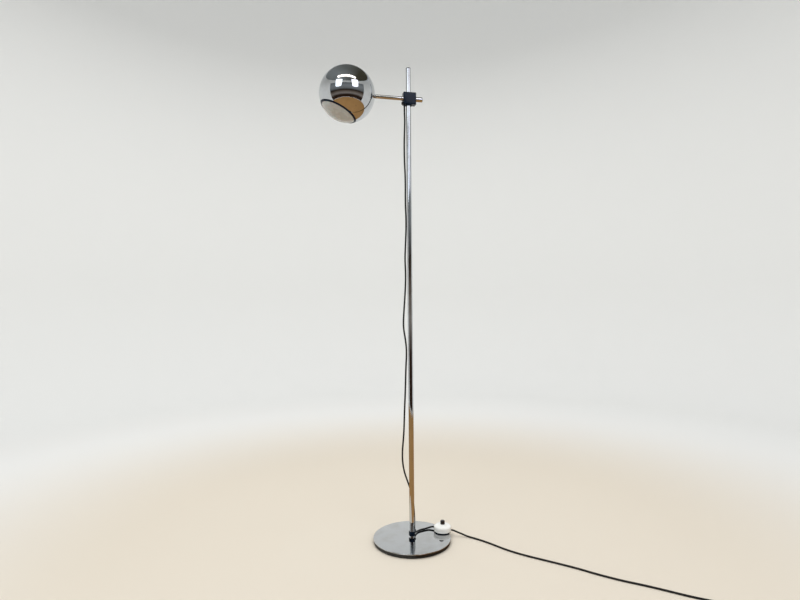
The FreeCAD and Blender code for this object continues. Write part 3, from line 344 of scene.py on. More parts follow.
def rod(radius, length, place, steps=48):
    # a closed round bar along its own Z from its place
    bm = outlineMesh([(0, 0), (radius, 0), (radius, length), (0, length)], steps)
    bmesh.ops.transform(bm, matrix=place, verts=bm.verts[:])
    return bm


def shift(x, y, z):
    return Matrix.Translation(Vector((x, y, z)))


alongX = Matrix.Rotation(math.radians(90), 4, "Y")
alongMinusX = Matrix.Rotation(math.radians(-90), 4, "Y")


# leads

lead = {
    "diameter": 5.5,
    "insideSwitch": 5,     # how far its ends reach in past the switch's wall
    "inletRun": 8,         # how far it runs straight outside the wall
    "outletRun": 5,
    "coilApproach": (36, 12),
    "tailRuns": (14, 8, 40),
    "resolution": 10,  # points read per control point
    # from the clamp's channel it hangs beside the pole
    "upper": [(-13.65, 0, 1409.5), (-13.65, 0, 1386), (-12.5, 0.3, 1358), (-13.6, 0.3, 1328),
              (-14.35, 0.4, 1308)],
    # down beside the pole, across it near the floor, through the clip's eye and into the switch
    "riser": [(-14.35, 0.4, 1308), (-15.1, 0.5, 1288), (-14.9, 1.4, 1235), (-11.8, 1.7, 1167),
              (-12.6, 2.9, 1096),
              (-9.1, 6.8, 1030), (-11.6, 5.8, 970), (-15.0, 5.5, 912), (-12.4, 4.9, 860), (-15.0, 5.5, 800),
              (-19.8, 6.6, 736), (-21.8, 7.1, 690), (-14.8, 5.5, 650), (-11.3, 5.7, 610), (-14.5, 6.4, 558),
              (-16.3, 7.9, 488), (-19.5, 9.6, 418), (-21.6, 11.1, 345), (-27.9, 14.7, 275),
              (-22.4, 16.5, 226),
              (-10.3, 15.2, 190), (1.1, 13.8, 158), (7.7, 11.1, 125), (9.7, 9.8, 95), (11.2, 10.6, 67),
              (11.0, 11.2, 44), (11.0, 11.2, 19.6), (20.0, 23.5, 18.0), (30.5, 32.5, 17.0),
              (42.5, 37.4, 17.2),
              (57.0, 40.9, 17.0), (71.0, 45.6, 18.0)],
    "switchMiddle": (108, 15.3, 20.5),  # at the height of the switch's lead holes
    "switchRadius": 28.5,
    "inletTurn": 128.5,
    "outletTurn": -24.5,
    # out over the base's edge and across the floor
    "run": [(152, -6.2, 15.2), (166.5, -11.5, 9.8), (182, -20.5, 3.8), (200.2, -36.9, 2.8),
            (221.5, -64.5, 2.8), (240.6, -93.7, 2.8),
            (265.6, -136.1, 2.8), (300.4, -180.1, 2.8), (356.9, -235.0, 2.8), (415.6, -293.5, 2.8),
            (450.4, -336.5, 2.8), (498.1, -385.3, 2.8), (532.6, -413.6, 2.8), (567.4, -445.3, 2.8),
            (616.7, -494.7, 2.8), (655.2, -526.3, 2.8)],
    # the put-away length: a flat coil that winds in and then out again on top
    "coilMiddle": (696, -607, 0),
    "coilStart": 50.6,
    "coilTurns": 6.25,
    "coilInner": 19.5,
    "coilPitch": 5.95,
    "coilLevel": 3.95,
    "pointsPerTurn": 16,
    "plugLevel": 6.9,
    "reliefLength": 22,
}


def outOfSwitch(turn, reach):
    x, y, z = lead["switchMiddle"]
    angle = math.radians(turn)
    return (x + reach * math.cos(angle), y + reach * math.sin(angle), z)


def coilPoint(turned):
    # clockwise from above: in to the middle, up one layer, and out again
    half = lead["coilTurns"] / 2
    radius = lead["coilInner"] + lead["coilPitch"] * abs(turned - half)
    climb = min(max(2 * (turned - half) + 0.5, 0), 1)
    angle = math.radians(lead["coilStart"]) - math.tau * turned
    flat = Vector((radius * math.cos(angle), radius * math.sin(angle),
                   lead["coilLevel"] + lead["coilPitch"] * climb))
    return Vector(lead["coilMiddle"]) + flat


def coilWay(turned):
    return (coilPoint(turned + 0.125) - coilPoint(turned - 0.125)).normalized()


def leadCurve(name, points, bevel):
    # a smooth line with the route's points as its control points
    curve = bpy.data.curves.new(name, "CURVE")
    curve.dimensions = "3D"
    spline = curve.splines.new("NURBS")
    spline.points.add(len(points) - 1)
    for point, place in zip(spline.points, points):
        point.co = (*[value * mm for value in place], 1)
    spline.order_u = 3
    spline.use_endpoint_u = True
    spline.resolution_u = lead["resolution"]
    curve.bevel_depth = lead["diameter"] / 2 * mm if bevel else 0
    curve.bevel_resolution = 5
    curve.use_fill_caps = bevel
    piece = bpy.data.objects.new(name, curve)
    bpy.context.scene.collection.objects.link(piece)
    return piece


def leadTube(name, points):
    # the same line as a mesh tube, with the points that it follows
    made = []
    for bevel in (True, False):
        curve = leadCurve(name + "Line", points, bevel)
        bpy.context.view_layer.update()
        made.append(bpy.data.meshes.new_from_object(curve.evaluated_get(bpy.context.evaluated_depsgraph_get())))
        bpy.data.objects.remove(curve)
    tube, line = made
    path = [vertex.co.copy() for vertex in line.vertices]
    bm = bmesh.new()
    bm.from_mesh(tube)
    bmesh.ops.remove_doubles(bm, verts=bm.verts[:], dist=1e-6)
    bmesh.ops.recalc_face_normals(bm, faces=bm.faces[:])
    return bm, path


def lengthOf(path):
    return sum((end - start).length for start, end in zip(path, path[1:]))


riserPoints = lead["riser"] + [outOfSwitch(lead["inletTurn"], lead["switchRadius"] + lead["inletRun"]),
                               outOfSwitch(lead["inletTurn"], lead["switchRadius"] - lead["insideSwitch"])]
bm, upperPath = leadTube("leadUpper", lead["upper"])
leadUpper = putDown(bm, "leadUpper", None, ["cord_upper"])
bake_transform(leadUpper)

bm, riserPath = leadTube("leadRiser", riserPoints)
leadRiser = putDown(bm, "leadRiser", None, ["cord_riser"])
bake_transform(leadRiser)

approach = coilWay(0)
coilEntry = coilPoint(0)
floorPoints = [outOfSwitch(lead["outletTurn"], lead["switchRadius"] - lead["insideSwitch"]),
               outOfSwitch(lead["outletTurn"], lead["switchRadius"] + lead["outletRun"])]
floorPoints += lead["run"]
farApproach, nearApproach = lead["coilApproach"]
floorPoints += [tuple(coilEntry - approach * farApproach + Vector((-1.2, -1.2, -0.6))),
                tuple(coilEntry - approach * nearApproach)]
turns = lead["coilTurns"]
coilSteps = int(turns * lead["pointsPerTurn"])
floorPoints += [tuple(coilPoint(k / lead["pointsPerTurn"])) for k in range(coilSteps + 1)]
leaving = coilWay(turns)
tailStart = coilPoint(turns)
away = Vector((leaving.x, leaving.y, 0)).normalized()
firstRun, lastRun, plugReach = lead["tailRuns"]
plugStart = tailStart + away * (lead["reliefLength"] + plugReach)
plugStart.z = lead["plugLevel"]
floorPoints += [tuple(tailStart + leaving * firstRun),
                tuple(plugStart - away * (lead["reliefLength"] + lastRun)), tuple(plugStart)]
leadFloor = leadCurve("leadFloor", floorPoints, True)
leadFloor.data.materials.append(finishes["cord_jacket"])
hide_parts("cord_floor", "cord_coil")
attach(leadFloor, "root")
bm, floorPath = leadTube("leadMeasure", floorPoints)
bm.free()
print("leads laid:", *[round(lengthOf(path), 3) for path in (upperPath, riserPath, floorPath)])


# plug, pins and the coil's tie

plug = {
    "width": 35, "noseWidth": 12, "noseLength": 15, "length": 34, "thickness": 13.6, "rounding": 3,
    "reliefNeck": 3.85, "reliefRoot": 4.95, "ribs": 4, "ribDepth": 0.5,
    "pinDiameter": 4, "pinLength": 19, "pinSpacing": 18.6, "pinSleeve": 9,
}
plugPlace = Matrix.Translation(plugStart * mm) @ Vector((0, 1,
                                                         0)).rotation_difference(away).to_matrix().to_4x4()

bm = bmesh.new()
half = plug["width"] / 2
plan = [(-plug["noseWidth"] / 2, 0), (plug["noseWidth"] / 2, 0), (half, plug["noseLength"]),
        (half, plug["length"]),
        (-half, plug["length"]), (-half, plug["noseLength"])]
face = bm.faces.new([bm.verts.new((x * mm, y * mm, -plug["thickness"] / 2 * mm)) for x, y in plan])
grown = bmesh.ops.extrude_face_region(bm, geom=[face])
bmesh.ops.translate(bm, vec=(0, 0, plug["thickness"] * mm),
                    verts=[v for v in grown["geom"] if isinstance(v, bmesh.types.BMVert)])
bmesh.ops.recalc_face_normals(bm, faces=bm.faces[:])
bmesh.ops.bevel(bm, geom=bm.edges[:], offset=plug["rounding"] * mm, offset_type="OFFSET", segments=4,
                profile=0.5,
                affect="EDGES", material=-1)
ribPitch = lead["reliefLength"] / plug["ribs"]
outline = [(lead["diameter"] / 2 + seatGap, -lead["reliefLength"])]
for k in range(plug["ribs"]):
    start = -lead["reliefLength"] + k * ribPitch
    radius = plug["reliefNeck"] + (plug["reliefRoot"] - plug["reliefNeck"]) * k / plug["ribs"]
    outline += [(radius, start, 0.3), (radius, start + ribPitch * 0.6, 0.3),
                (radius - plug["ribDepth"], start + ribPitch * 0.7, 0.2),
                (radius - plug["ribDepth"], start + ribPitch * 0.9, 0.2)]
outline += [(plug["reliefRoot"], 0), (plug["reliefRoot"], 2), (lead["diameter"] / 2 + seatGap, 2)]
relief = outlineMesh(outline, 40, 2)
relief.transform(Matrix.Rotation(math.radians(-90), 4, "X"))
mesh = bpy.data.meshes.new("relief")
relief.to_mesh(mesh)
relief.free()
bm.from_mesh(mesh)
plugBody = putDown(bm, "plugBody", "root", ["plug_body"], place=plugPlace)

pins = bmesh.new()
radius = plug["pinDiameter"] / 2
for side in (-1, 1):
    pin = outlineMesh([(0, 0), (radius, 0), (radius, plug["pinSleeve"] - 0.2),
                       (radius - 0.15, plug["pinSleeve"]),
                       (radius - 0.15, plug["pinLength"], 1.4), (0, plug["pinLength"])], 32)
    pin.transform(shift(side * plug["pinSpacing"] / 2 * mm, plug["length"] * mm,
                        0) @ Matrix.Rotation(math.radians(-90), 4, "X"))
    mesh = bpy.data.meshes.new("pin")
    pin.to_mesh(mesh)
    pin.free()
    pins.from_mesh(mesh)
plugPins = putDown(pins, "plugPins", "root", ["plug_pins"], place=plugPlace)

tie = {"turn": -200, "width": 9, "thickness": 0.8, "innerGap": 0.6, "rounding": 2.4}
inner = lead["coilInner"] - lead["diameter"] / 2 - tie["innerGap"]
outer = lead["coilInner"] + lead["coilPitch"] * turns / 2 + lead["diameter"] / 2 + tie["innerGap"]
bottom = lead["coilLevel"] - lead["diameter"] / 2 - 0.25
top = lead["coilLevel"] + lead["coilPitch"] + lead["diameter"] / 2 + 0.4
bm = bmesh.new()
band = [bm.verts.new((x * mm, -tie["width"] / 2 * mm, z * mm)) for x,
        z in ((inner, bottom), (outer, bottom), (outer, top), (inner, top))]
for start, end in zip(band, band[1:] + band[:1]):
    bm.edges.new((start, end))
bmesh.ops.bevel(bm, geom=band, offset=tie["rounding"] * mm, offset_type="OFFSET", segments=5, profile=0.5,
                affect="VERTICES", material=-1)
grown = bmesh.ops.extrude_edge_only(bm, edges=bm.edges[:])
bmesh.ops.translate(bm, vec=(0, tie["width"] * mm, 0),
                    verts=[v for v in grown["geom"] if isinstance(v, bmesh.types.BMVert)])
bmesh.ops.recalc_face_normals(bm, faces=bm.faces[:])


def thicken(piece):
    wall = piece.modifiers.new("wall", "SOLIDIFY")
    wall.thickness = tie["thickness"] * mm
    wall.offset = 1
    edge = piece.modifiers.new("edge", "BEVEL")
    edge.width = 0.2 * mm
    edge.segments = 2
    edge.limit_method = "ANGLE"


tieMiddle = shift(*[value * mm for value in lead["coilMiddle"]])
tiePlace = tieMiddle @ Matrix.Rotation(math.radians(lead["coilStart"] + tie["turn"]), 4, "Z")
coilTie = putDown(bm, "coilTie", "root", ["coil_tie"], place=tiePlace, extra=thicken)

print("plug and tie made")


# base

base = {"steps": 256, "coverRounding": 1.2, "weightRounding": 1.5, "footRounding": 0.6, "feltRounding": 0.3}

low, high, _ = spanOf("base_felt")
bm = outlineMesh([(0, 0), (high.x / mm, 0), (high.x / mm, high.z / mm, base["feltRounding"]),
                  (0, high.z / mm)], base["steps"])
putDown(bm, "baseFelt", "root", ["base_felt"])

low, high, _ = spanOf("base_weight")
bm = outlineMesh([(0, low.z / mm), (high.x / mm, low.z / mm, base["footRounding"]),
                  (high.x / mm, high.z / mm, base["weightRounding"]),
                  (0, high.z / mm)], base["steps"])
putDown(bm, "baseWeight", "root", ["base_weight"])

low, high, _ = spanOf("base_cover")
bm = outlineMesh([(0, low.z / mm), (high.x / mm, low.z / mm, base["coverRounding"]),
                  (high.x / mm, high.z / mm, base["coverRounding"]),
                  (0, high.z / mm)], base["steps"])
putDown(bm, "baseCover", "root", ["base_cover"])
print("base made")


# pole, cap and sleeve

pole = {"steps": 72, "wall": 1.5, "edge": 0.4, "capHeight": 4, "capRounding": 1.8, "flangeHeight": 3.8,
        "flangeRounding": 0.6}

low, high, _ = spanOf("pole_tube")
poleRadius = high.x / mm
bm = outlineMesh([(poleRadius - pole["wall"], low.z / mm), (poleRadius, low.z / mm),
                  (poleRadius, high.z / mm, pole["edge"]),
                  (poleRadius - pole["wall"], high.z / mm, pole["edge"])], pole["steps"])
putDown(bm, "poleTube", "root", ["pole_tube"])

capBase = high.z / mm
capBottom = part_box("pole_cap")[0].z / mm
bm = outlineMesh([(0, capBottom), (poleRadius - pole["wall"] - 0.1, capBottom),
                  (poleRadius - pole["wall"] - 0.1, capBase),
                  (poleRadius, capBase, 0.2), (poleRadius, capBase + pole["capHeight"] / 3,
                                               pole["capRounding"]),
                  (poleRadius / 2, capBase + pole["capHeight"], pole["capRounding"]),
                  (0, capBase + pole["capHeight"])], pole["steps"])
putDown(bm, "poleCap", "root", ["pole_cap"])

low, high, _ = spanOf("pole_sleeve")
flangeTop = low.z / mm + pole["flangeHeight"]
sleeveRadius = poleRadius + 1.2
bm = outlineMesh([(poleRadius + seatGap, low.z / mm, 0.3), (high.x / mm, low.z / mm, pole["flangeRounding"]),
                  (high.x / mm, flangeTop, 0.4), (sleeveRadius, flangeTop), (sleeveRadius, high.z / mm, 0.25),
                  (poleRadius + seatGap, high.z / mm, 0.25)], pole["steps"])
putDown(bm, "poleSleeve", "slider", ["pole_sleeve"])
print("pole made")


# clamp block, its screw, the knob and the arm

clamp = {
    "rounding": 3.2, "easing": 0.8, "bore": 9.25, "channel": 3.25, "grubRadius": 1.55, "grubX": -14.5,
         "grubDepth": 12,
    "screwDiameter": 10.5, "screwRounding": 1.4, "slotWidth": 1.4, "slotDepth": 1.2, "screwZ": 1413.5,
    "knobRounding": 3, "knobFoot": 0.5, "armWall": 1, "ferruleRounding": 0.6,
}

low, high, middle = spanOf("clamp_block")
level = middle.z
bm = bmesh.new()
bmesh.ops.create_cube(bm, size=1.0)
bmesh.ops.scale(bm, vec=high - low, verts=bm.verts[:])
upright = [edge for edge in bm.edges if abs(edge.verts[0].co.z - edge.verts[1].co.z) > (high - low).z / 2]
bmesh.ops.bevel(bm, geom=upright, offset=clamp["rounding"] * mm, offset_type="OFFSET", segments=8,
                profile=0.5,
                affect="EDGES", material=-1)
ends = [edge for edge in bm.edges if len({round(face.normal.z) for face in edge.link_faces}) > 1]
bmesh.ops.bevel(bm, geom=ends, offset=clamp["easing"] * mm, offset_type="OFFSET", segments=4, profile=0.5,
                affect="EDGES", material=-1)
channelX = lead["upper"][0][0] * mm


def boreBlock(piece):
    drill(piece, [rod(clamp["bore"], 50, shift(0, 0, low.z - 5 * mm), 96),
                  rod(clamp["channel"], 21, shift(channelX, 0, low.z - 1 * mm)),
                  rod(clamp["grubRadius"], clamp["grubDepth"] + 1,
                      shift(clamp["grubX"] * mm, 0, high.z - clamp["grubDepth"] * mm))])


putDown(bm, "clampBlock", "clamp", ["clamp_block"], place=shift(*middle), extra=boreBlock)

low, high, _ = spanOf("lead_grip_screw")
headLength = (spanOf("clamp_block")[0].x - low.x) / mm
bm = outlineMesh([(0, -0.2), (clamp["screwDiameter"] / 2, -0.2),
                  (clamp["screwDiameter"] / 2, headLength, clamp["screwRounding"]),
                  (0, headLength)], 64)


def cutSlot(piece):
    slot = bmesh.new()
    bmesh.ops.create_cube(slot, size=1.0)
    bmesh.ops.scale(slot, vec=Vector((2 * clamp["slotDepth"], clamp["slotWidth"], 14)) * mm,
                    verts=slot.verts[:])
    bmesh.ops.translate(slot, vec=(low.x, 0, clamp["screwZ"] * mm), verts=slot.verts[:])
    drill(piece, [slot])


putDown(bm, "leadGripScrew", "clamp", ["lead_grip_screw"], extra=cutSlot,
        place=shift(spanOf("clamp_block")[0].x, 0, clamp["screwZ"] * mm) @ alongMinusX)

low, high, _ = spanOf("lock_knob")
knobRadius = high.y / mm
knobLength = (high.x - low.x) / mm
bm = outlineMesh([(0, 0), (knobRadius, 0, clamp["knobFoot"]), (knobRadius, knobLength, clamp["knobRounding"]),
                  (0, knobLength)],
                 80, 8)
putDown(bm, "lockKnob", "knob", ["lock_knob"], place=shift(low.x, 0, level) @ alongX)

low, high, _ = spanOf("arm_tube")
armRadius = high.y / mm
armLength = (high.x - low.x) / mm
bm = outlineMesh([(armRadius - clamp["armWall"], 0, 0.2), (armRadius, 0, 0.3), (armRadius, armLength),
                  (armRadius - clamp["armWall"], armLength)],
                 72, 3)
putDown(bm, "armTube", "clamp", ["arm_tube"], place=shift(low.x, 0, level) @ alongX)

low, high, _ = spanOf("arm_ferrule")
ferruleLength = (high.x - low.x) / mm
bm = outlineMesh([(armRadius + seatGap, 0), (high.y / mm, 0),
                  (high.y / mm, ferruleLength, clamp["ferruleRounding"]),
                  (armRadius + seatGap, ferruleLength, 0.2)], 72)
putDown(bm, "armFerrule", "clamp", ["arm_ferrule"], place=shift(high.x, 0, level) @ alongMinusX)
print("clamp and arm made")


# swivel stem and ball shade

shade = {
    "ballX": -199, "radius": 88, "wall": 1, "mouthRadius": 62, "tilt": 26.8, "meridians": 192, "rings": 120,
    "holeRadius": 8, "opening": 56, "lip": 4, "lipRounding": 1.1, "skirtRadius": 60.37, "skirtWall": 1.3,
    "skirtHeight": 10, "diffuserRadius": 86.6, "diffuserWall": 2, "pivotX": -117.5, "stemRadius": 4.75,
    "stemBore": 3, "stemBack": -12.2,
    "stemFlare": 8.3, "stemFront": 9.5, "spigot": 12,
}
mouthDrop = math.sqrt(shade["radius"] ** 2 - shade["mouthRadius"] ** 2)
shadePlace = shift(shade["ballX"] * mm, 0, level) @ Matrix.Rotation(math.radians(shade["tilt"]), 4, "Y")

bm = outlineMesh([(shade["stemBore"], shade["stemBack"]), (shade["stemRadius"], shade["stemBack"]),
                  (shade["stemRadius"], shade["stemFlare"], 1),
                  (armRadius - 0.4, shade["stemFront"], 0.3), (armRadius - 1.05, shade["stemFront"]),
                  (armRadius - 1.05, shade["stemFront"] + shade["spigot"]),
                  (shade["stemBore"], shade["stemFront"] + shade["spigot"])], 64, 4)
putDown(bm, "swivelStem", "clamp", ["swivel_stem"], place=shift(shade["pivotX"] * mm, 0, level) @ alongX)


def sphereBelow(radius, height, keepBelow):
    # part of a sphere about the mouth's axis, cut clean across at a height over its middle
    bm = bmesh.new()
    bmesh.ops.create_uvsphere(bm, u_segments=shade["meridians"], v_segments=shade["rings"],
                              radius=radius * mm)
    bmesh.ops.bisect_plane(bm, geom=bm.verts[:] + bm.edges[:] + bm.faces[:], plane_co=(0, 0, height * mm),
                           plane_no=(0, 0, 1),
                           clear_outer=keepBelow, clear_inner=not keepBelow)
    return bm


bm = sphereBelow(shade["radius"], -mouthDrop, False)


def wallAndHole(piece):
    wall = piece.modifiers.new("wall", "SOLIDIFY")
    wall.thickness = shade["wall"] * mm
    wall.offset = -1
    bpy.context.view_layer.update()
    piece.data = bpy.data.meshes.new_from_object(piece.evaluated_get(bpy.context.evaluated_depsgraph_get()))
    piece.modifiers.clear()
    drill(piece, [rod(shade["holeRadius"], 30, shift(shade["pivotX"] * mm - 10 * mm, 0, level) @ alongX, 64)])


putDown(bm, "shadeShell", "shade", ["shade_shell"], place=shadePlace, extra=wallAndHole)

rimOuter = math.sqrt(shade["radius"] ** 2 - (mouthDrop + shade["lip"]) ** 2)
bm = outlineMesh([(shade["opening"], -shade["lip"], 0.6),
                  (rimOuter - 0.1, -shade["lip"], shade["lipRounding"]),
                  (shade["mouthRadius"] - 0.05, -0.05, 0.1),
                  (shade["skirtRadius"], -0.05), (shade["skirtRadius"], shade["skirtHeight"]),
                  (shade["skirtRadius"] - shade["skirtWall"], shade["skirtHeight"]),
                  (shade["skirtRadius"] - shade["skirtWall"], 0),
                  (shade["opening"], 0, 0.3)], 192, 4)
putDown(bm, "rimRing", "shade", ["rim_ring"], place=shadePlace @ shift(0, 0, -mouthDrop * mm))

edgeHeight = math.sqrt(shade["diffuserRadius"] ** 2 - (shade["opening"] - 0.1) ** 2)
bm = sphereBelow(shade["diffuserRadius"], -edgeHeight, True)


def diffuserWall(piece):
    wall = piece.modifiers.new("wall", "SOLIDIFY")
    wall.thickness = shade["diffuserWall"] * mm
    wall.offset = -1


putDown(bm, "diffuserDome", "shade", ["diffuser"], place=shadePlace, extra=diffuserWall)
print("shade made")


# foot switch

switch = {
    "middle": (108, 15.3), "baseRounding": 0.5, "steps": 128,
    "radius": 28.5, "shoulder": 18, "topRadius": 21.1, "top": 24.5, "hole": 7.5, "wall": 2, "skirt": 3,
    "seam": 10, "seamWidth": 0.6, "seamDepth": 0.4,
    "buttonRadius": 7.3, "buttonTop": 35.5, "buttonRounding": 1.6, "buttonFlange": 8.9,
}
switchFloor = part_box("switch_base")[0].z
switchPlace = shift(switch["middle"][0] * mm, switch["middle"][1] * mm, switchFloor)

low, high, middle = spanOf("switch_base")
radius = (high.x - low.x) / 2 / mm
bm = outlineMesh([(0, 0), (radius, 0), (radius, switch["skirt"], switch["baseRounding"]),
                  (0, switch["skirt"])], switch["steps"])
putDown(bm, "switchBase", "root", ["switch_base"], place=switchPlace)

outline = [(switch["radius"] - switch["wall"], switch["skirt"]), (switch["radius"], switch["skirt"], 0.4),
           (switch["radius"], switch["seam"] - switch["seamWidth"] / 2, 0.12),
           (switch["radius"] - switch["seamDepth"], switch["seam"]),
           (switch["radius"], switch["seam"] + switch["seamWidth"] / 2, 0.12),
           (switch["radius"], switch["shoulder"], 3), (switch["topRadius"], switch["top"] - 1.6, 3),
           (switch["hole"], switch["top"], 0.8),
           (switch["hole"], switch["top"] - switch["wall"]),
           (switch["topRadius"] - 1.6, switch["top"] - 1.2 - switch["wall"]),
           (switch["radius"] - switch["wall"], switch["shoulder"] - 1)]
bm = outlineMesh(outline, switch["steps"], 8)


def leadHoles(piece):
    holes = []
    for turn in (lead["inletTurn"], lead["outletTurn"]):
        start = Vector(outOfSwitch(turn, switch["radius"] - 4)) * mm
        holes.append(rod(lead["diameter"] / 2 + 0.2, 8,
                         Matrix.Translation(start) @ Matrix.Rotation(math.radians(turn), 4, "Z") @ alongX))
    drill(piece, holes)


putDown(bm, "switchCover", "root", ["switch_cover"], place=switchPlace, extra=leadHoles)

flange = switch["top"] - switch["wall"] - 1.8
bm = outlineMesh([(0, flange), (switch["buttonFlange"], flange, 0.3),
                  (switch["buttonFlange"], flange + 1.6, 0.3),
                  (switch["buttonRadius"], flange + 1.6),
                  (switch["buttonRadius"], switch["buttonTop"], switch["buttonRounding"]),
                  (0, switch["buttonTop"])], 72, 6)
putDown(bm, "switchButton", "button", ["switch_button"], finish=phenolic, place=switchPlace)
print("switch made")


# cord clip at the pole's foot

clip = {"radius": 10.3, "height": 13, "bottom": 18.5, "rounding": 1, "eyeX": 11.0, "eyeY": 11.2,
        "eyeBore": 3.35, "eyeWall": 1.3,
        "eyeBottom": 24.5, "lugWidth": 3.25}
clipTop = clip["bottom"] + clip["height"]
bm = outlineMesh([(poleRadius + seatGap, clip["bottom"]), (clip["radius"], clip["bottom"], clip["rounding"]),
                  (clip["radius"], clipTop, clip["rounding"]),
                  (poleRadius + seatGap, clipTop)], 72)


def joinEye(piece):
    eye = outlineMesh([(clip["eyeBore"], clip["eyeBottom"], 0.3),
                       (clip["eyeBore"] + clip["eyeWall"], clip["eyeBottom"], 0.4),
                       (clip["eyeBore"] + clip["eyeWall"], clipTop, 0.4), (clip["eyeBore"], clipTop, 0.3)],
                      56, 3)
    eye.transform(shift(clip["eyeX"] * mm, clip["eyeY"] * mm, 0))
    lug = bmesh.new()
    bmesh.ops.create_cube(lug, size=1.0)
    reach = math.hypot(clip["eyeX"], clip["eyeY"])
    start, end = clip["radius"] - 1.5, reach - clip["eyeBore"] - 0.4
    bmesh.ops.scale(lug, vec=Vector((end - start, clip["lugWidth"], clipTop - clip["eyeBottom"] - 0.4)) * mm,
                    verts=lug.verts[:])
    bmesh.ops.translate(lug, vec=Vector(((start + end) / 2, 0, (clipTop + clip["eyeBottom"]) / 2)) * mm,
                        verts=lug.verts[:])
    lug.transform(Matrix.Rotation(math.atan2(clip["eyeY"], clip["eyeX"]), 4, "Z"))
    for number, made in enumerate((lug, eye)):
        mesh = bpy.data.meshes.new("clipPart")
        made.to_mesh(mesh)
        made.free()
        tool = bpy.data.objects.new("clipPart", mesh)
        bpy.context.scene.collection.objects.link(tool)
        union = piece.modifiers.new(f"union{number}", "BOOLEAN")
        union.operation = "UNION"
        union.solver = "EXACT"
        union.object = tool
        bpy.context.view_layer.update()
        piece.data = bpy.data.meshes.new_from_object(piece.evaluated_get(bpy.context.evaluated_depsgraph_get()))
        piece.modifiers.clear()
        bpy.data.objects.remove(tool)


putDown(bm, "cordClip", "root", ["cord_clip"], extra=joinEye)
print("clip made")


# stage: a pale round sweep, softboxes, and cards that only the chrome sees

stage = {
    "radius": 2.7, "bend": 0.9, "wallTop": 4.4, "floorTone": "#DCD3C4", "wallTone": "#EFEFED",
    "warmReach": 0.9, "neutralReach": 2.2,
}


def stageObject(name, bm, material):
    mesh = bpy.data.meshes.new(name)
    bm.to_mesh(mesh)
    bm.free()
    mesh.shade_smooth()
    mesh.materials.append(material)
    made = bpy.data.objects.new(name, mesh)
    bpy.context.scene.collection.objects.link(made)
    return made


paper, tree, shader, place = newMaterial("backdropPaper", stage["wallTone"], Roughness=0.85,
                                         Specular_IOR_Level=0.2)
parts = addNode(tree, "ShaderNodeSeparateXYZ", {"Vector": place})
flat = addNode(tree, "ShaderNodeCombineXYZ", {"X": parts.outputs["X"], "Y": parts.outputs["Y"]})
reach = addNode(tree, "ShaderNodeVectorMath", {0: flat.outputs["Vector"]}, operation="LENGTH")
fade = addNode(tree, "ShaderNodeMapRange", {"Value": reach.outputs["Value"], "From Min": stage["warmReach"],
                                            "From Max": stage["neutralReach"]},
               interpolation_type="SMOOTHSTEP")
tone = addNode(tree, "ShaderNodeMix", {0: fade.outputs["Result"], 6: linear(stage["floorTone"]),
                                       7: linear(stage["wallTone"])},
               data_type="RGBA")
tree.links.new(tone.outputs[2], shader.inputs["Base Color"])

bm = bmesh.new()
corners = [bm.verts.new(place) for place in ((0, 0, 0), (stage["radius"] + stage["bend"], 0, 0),
                                             (stage["radius"] + stage["bend"], 0, stage["wallTop"]))]
for start, end in zip(corners, corners[1:]):
    bm.edges.new((start, end))
bmesh.ops.bevel(bm, geom=[corners[1]], offset=stage["bend"], offset_type="OFFSET", segments=16, profile=0.5,
                affect="VERTICES", material=-1)
bmesh.ops.spin(bm, geom=bm.verts[:] + bm.edges[:], cent=(0, 0, 0), axis=(0, 0, 1), angle=math.tau, steps=128,
               use_merge=True)
bmesh.ops.remove_doubles(bm, verts=bm.verts[:], dist=1e-6)
bmesh.ops.recalc_face_normals(bm, faces=bm.faces[:])
if sum(face.normal.z * face.calc_area() for face in bm.faces) < 0:
    bmesh.ops.reverse_faces(bm, faces=bm.faces[:])
stageObject("sweep", bm, paper)

# cards and softboxes stand round the lamp by their bearing from the camera's side, in degrees, and height
cameraBearing = math.atan2(camera["place"][1], camera["place"][0] + 0.2)


def standAt(bearing, distance, height):
    angle = cameraBearing + math.radians(bearing)
    return Vector((-0.2 + distance * math.cos(angle), distance * math.sin(angle), height))


def hideFromCamera(made):
    made.visible_camera = made.visible_diffuse = made.visible_shadow = False


# the far side of a room: brown below, grey above, between the two windows
farRoom, tree, shader, place = newMaterial("farRoomCard", "#77797A", Roughness=0.9, Specular_IOR_Level=0.0)
parts = addNode(tree, "ShaderNodeSeparateXYZ", {"Vector": place})
rise = addNode(tree, "ShaderNodeMapRange", {"Value": parts.outputs["Z"], "From Min": 0.3, "From Max": 2.6})
tones = addNode(tree, "ShaderNodeValToRGB", {"Fac": rise.outputs["Result"]},
                stops=((0.0, "#33241C"), (1.0, "#6C6F72"), (0.09, "#33241C"), (0.22, "#8A827C"),
                       (0.33, "#6A5F57"),
                       (0.44, "#2C2018"), (0.58, "#75787A"), (0.75, "#84888B")))
tree.links.new(tones.outputs["Color"], shader.inputs["Base Color"])
bm = bmesh.new()
ends = [bm.verts.new(standAt(-70, 2.5, height)) for height in (0.02, 2.6)]
bmesh.ops.spin(bm, geom=[*ends, bm.edges.new(ends)], cent=(-0.2, 0, 0), axis=(0, 0, 1),
               angle=math.radians(140), steps=32)
hideFromCamera(stageObject("farRoomCard", bm, farRoom))

# a brown wooden floor further off
woodFloor, tree, shader, place = newMaterial("woodFloorCard", "#A98152", Roughness=0.9,
                                             Specular_IOR_Level=0.0)
bm = bmesh.new()
ends = [bm.verts.new(standAt(0, distance, 0.004)) for distance in (0.22, 2.45)]
bmesh.ops.spin(bm, geom=[*ends, bm.edges.new(ends)], cent=(-0.2, 0, 0), axis=(0, 0, 1), angle=math.tau,
               steps=64,
               use_merge=True)
hideFromCamera(stageObject("woodFloorCard", bm, woodFloor))

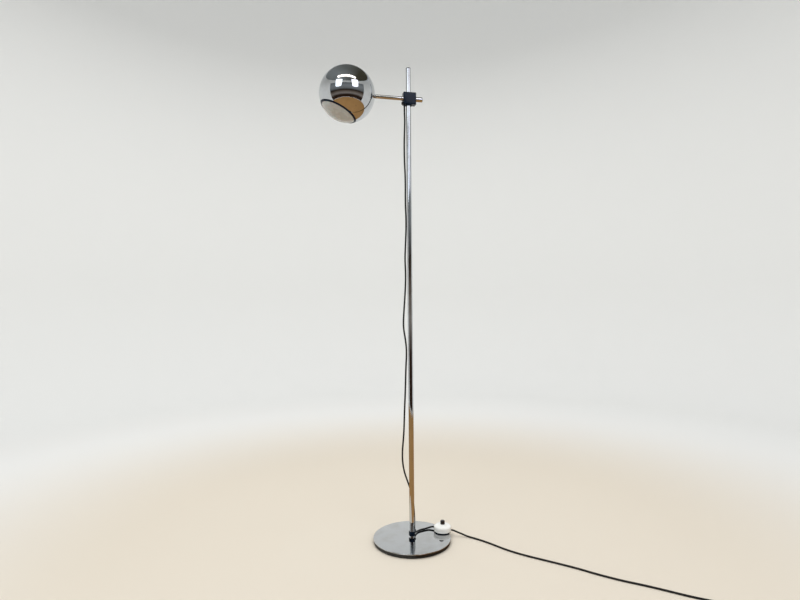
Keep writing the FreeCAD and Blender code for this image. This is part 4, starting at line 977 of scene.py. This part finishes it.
# a ceiling, pale on the arm's side and olive on the other
ceiling, tree, shader, place = newMaterial("ceilingCard", "#6B6A62", Roughness=0.9, Specular_IOR_Level=0.0)
parts = addNode(tree, "ShaderNodeSeparateXYZ", {"Vector": place})
across = addNode(tree, "ShaderNodeMapRange", {"Value": parts.outputs["X"], "From Min": -1.6, "From Max": 1.4})
tones = addNode(tree, "ShaderNodeValToRGB", {"Fac": across.outputs["Result"]},
                stops=((0.2, "#8E9496"), (0.85, "#4F4C40")))
tree.links.new(tones.outputs["Color"], shader.inputs["Base Color"])
bm = bmesh.new()
bmesh.ops.create_circle(bm, cap_ends=True, segments=64, radius=2.6)
bmesh.ops.translate(bm, vec=standAt(0, 0.6, 3.4), verts=bm.verts[:])
hideFromCamera(stageObject("ceilingCard", bm, ceiling))

softboxes = {
    # name: bearing, distance, height, width, depth, watts, tint, height aimed at
    "windowLeft": (-33, 2.3, 2.3, 1.0, 1.5, 13, "#EEF6FF", 1.2),
    "windowRight": (33, 2.3, 2.3, 1.0, 1.5, 12, "#F4F2FF", 1.2),
    "overheadStrip": (0, 1.3, 3.2, 2.4, 0.35, 12, "#FFF7EA", 1.0),
    "topSoft": (180, 0.6, 3.6, 2.6, 2.6, 62, "#FFFFFF", 0.0),
}
for name, (bearing, distance, height, width, depth, watts, tint, aim) in softboxes.items():
    data = bpy.data.lights.new(name, "AREA")
    data.shape = "RECTANGLE"
    data.size, data.size_y = width, depth
    data.energy = watts
    data.color = linear(tint)[:3]
    lamp = bpy.data.objects.new(name, data)
    lamp.location = standAt(bearing, distance, height)
    lamp.rotation_euler = (Vector((-0.1, 0, aim)) - lamp.location).to_track_quat("-Z", "Y").to_euler()
    lamp.visible_camera = False
    lamp.visible_glossy = name != "topSoft"  # it lights the piece but stays out of the chrome
    bpy.context.scene.collection.objects.link(lamp)

world = bpy.data.worlds.new("softRoom")
world.use_nodes = True
bpy.context.scene.world = world
sky = world.node_tree.nodes["Background"]
sky.inputs["Color"].default_value = linear("#E9EDF0")
sky.inputs["Strength"].default_value = 0.55
print("stage set")
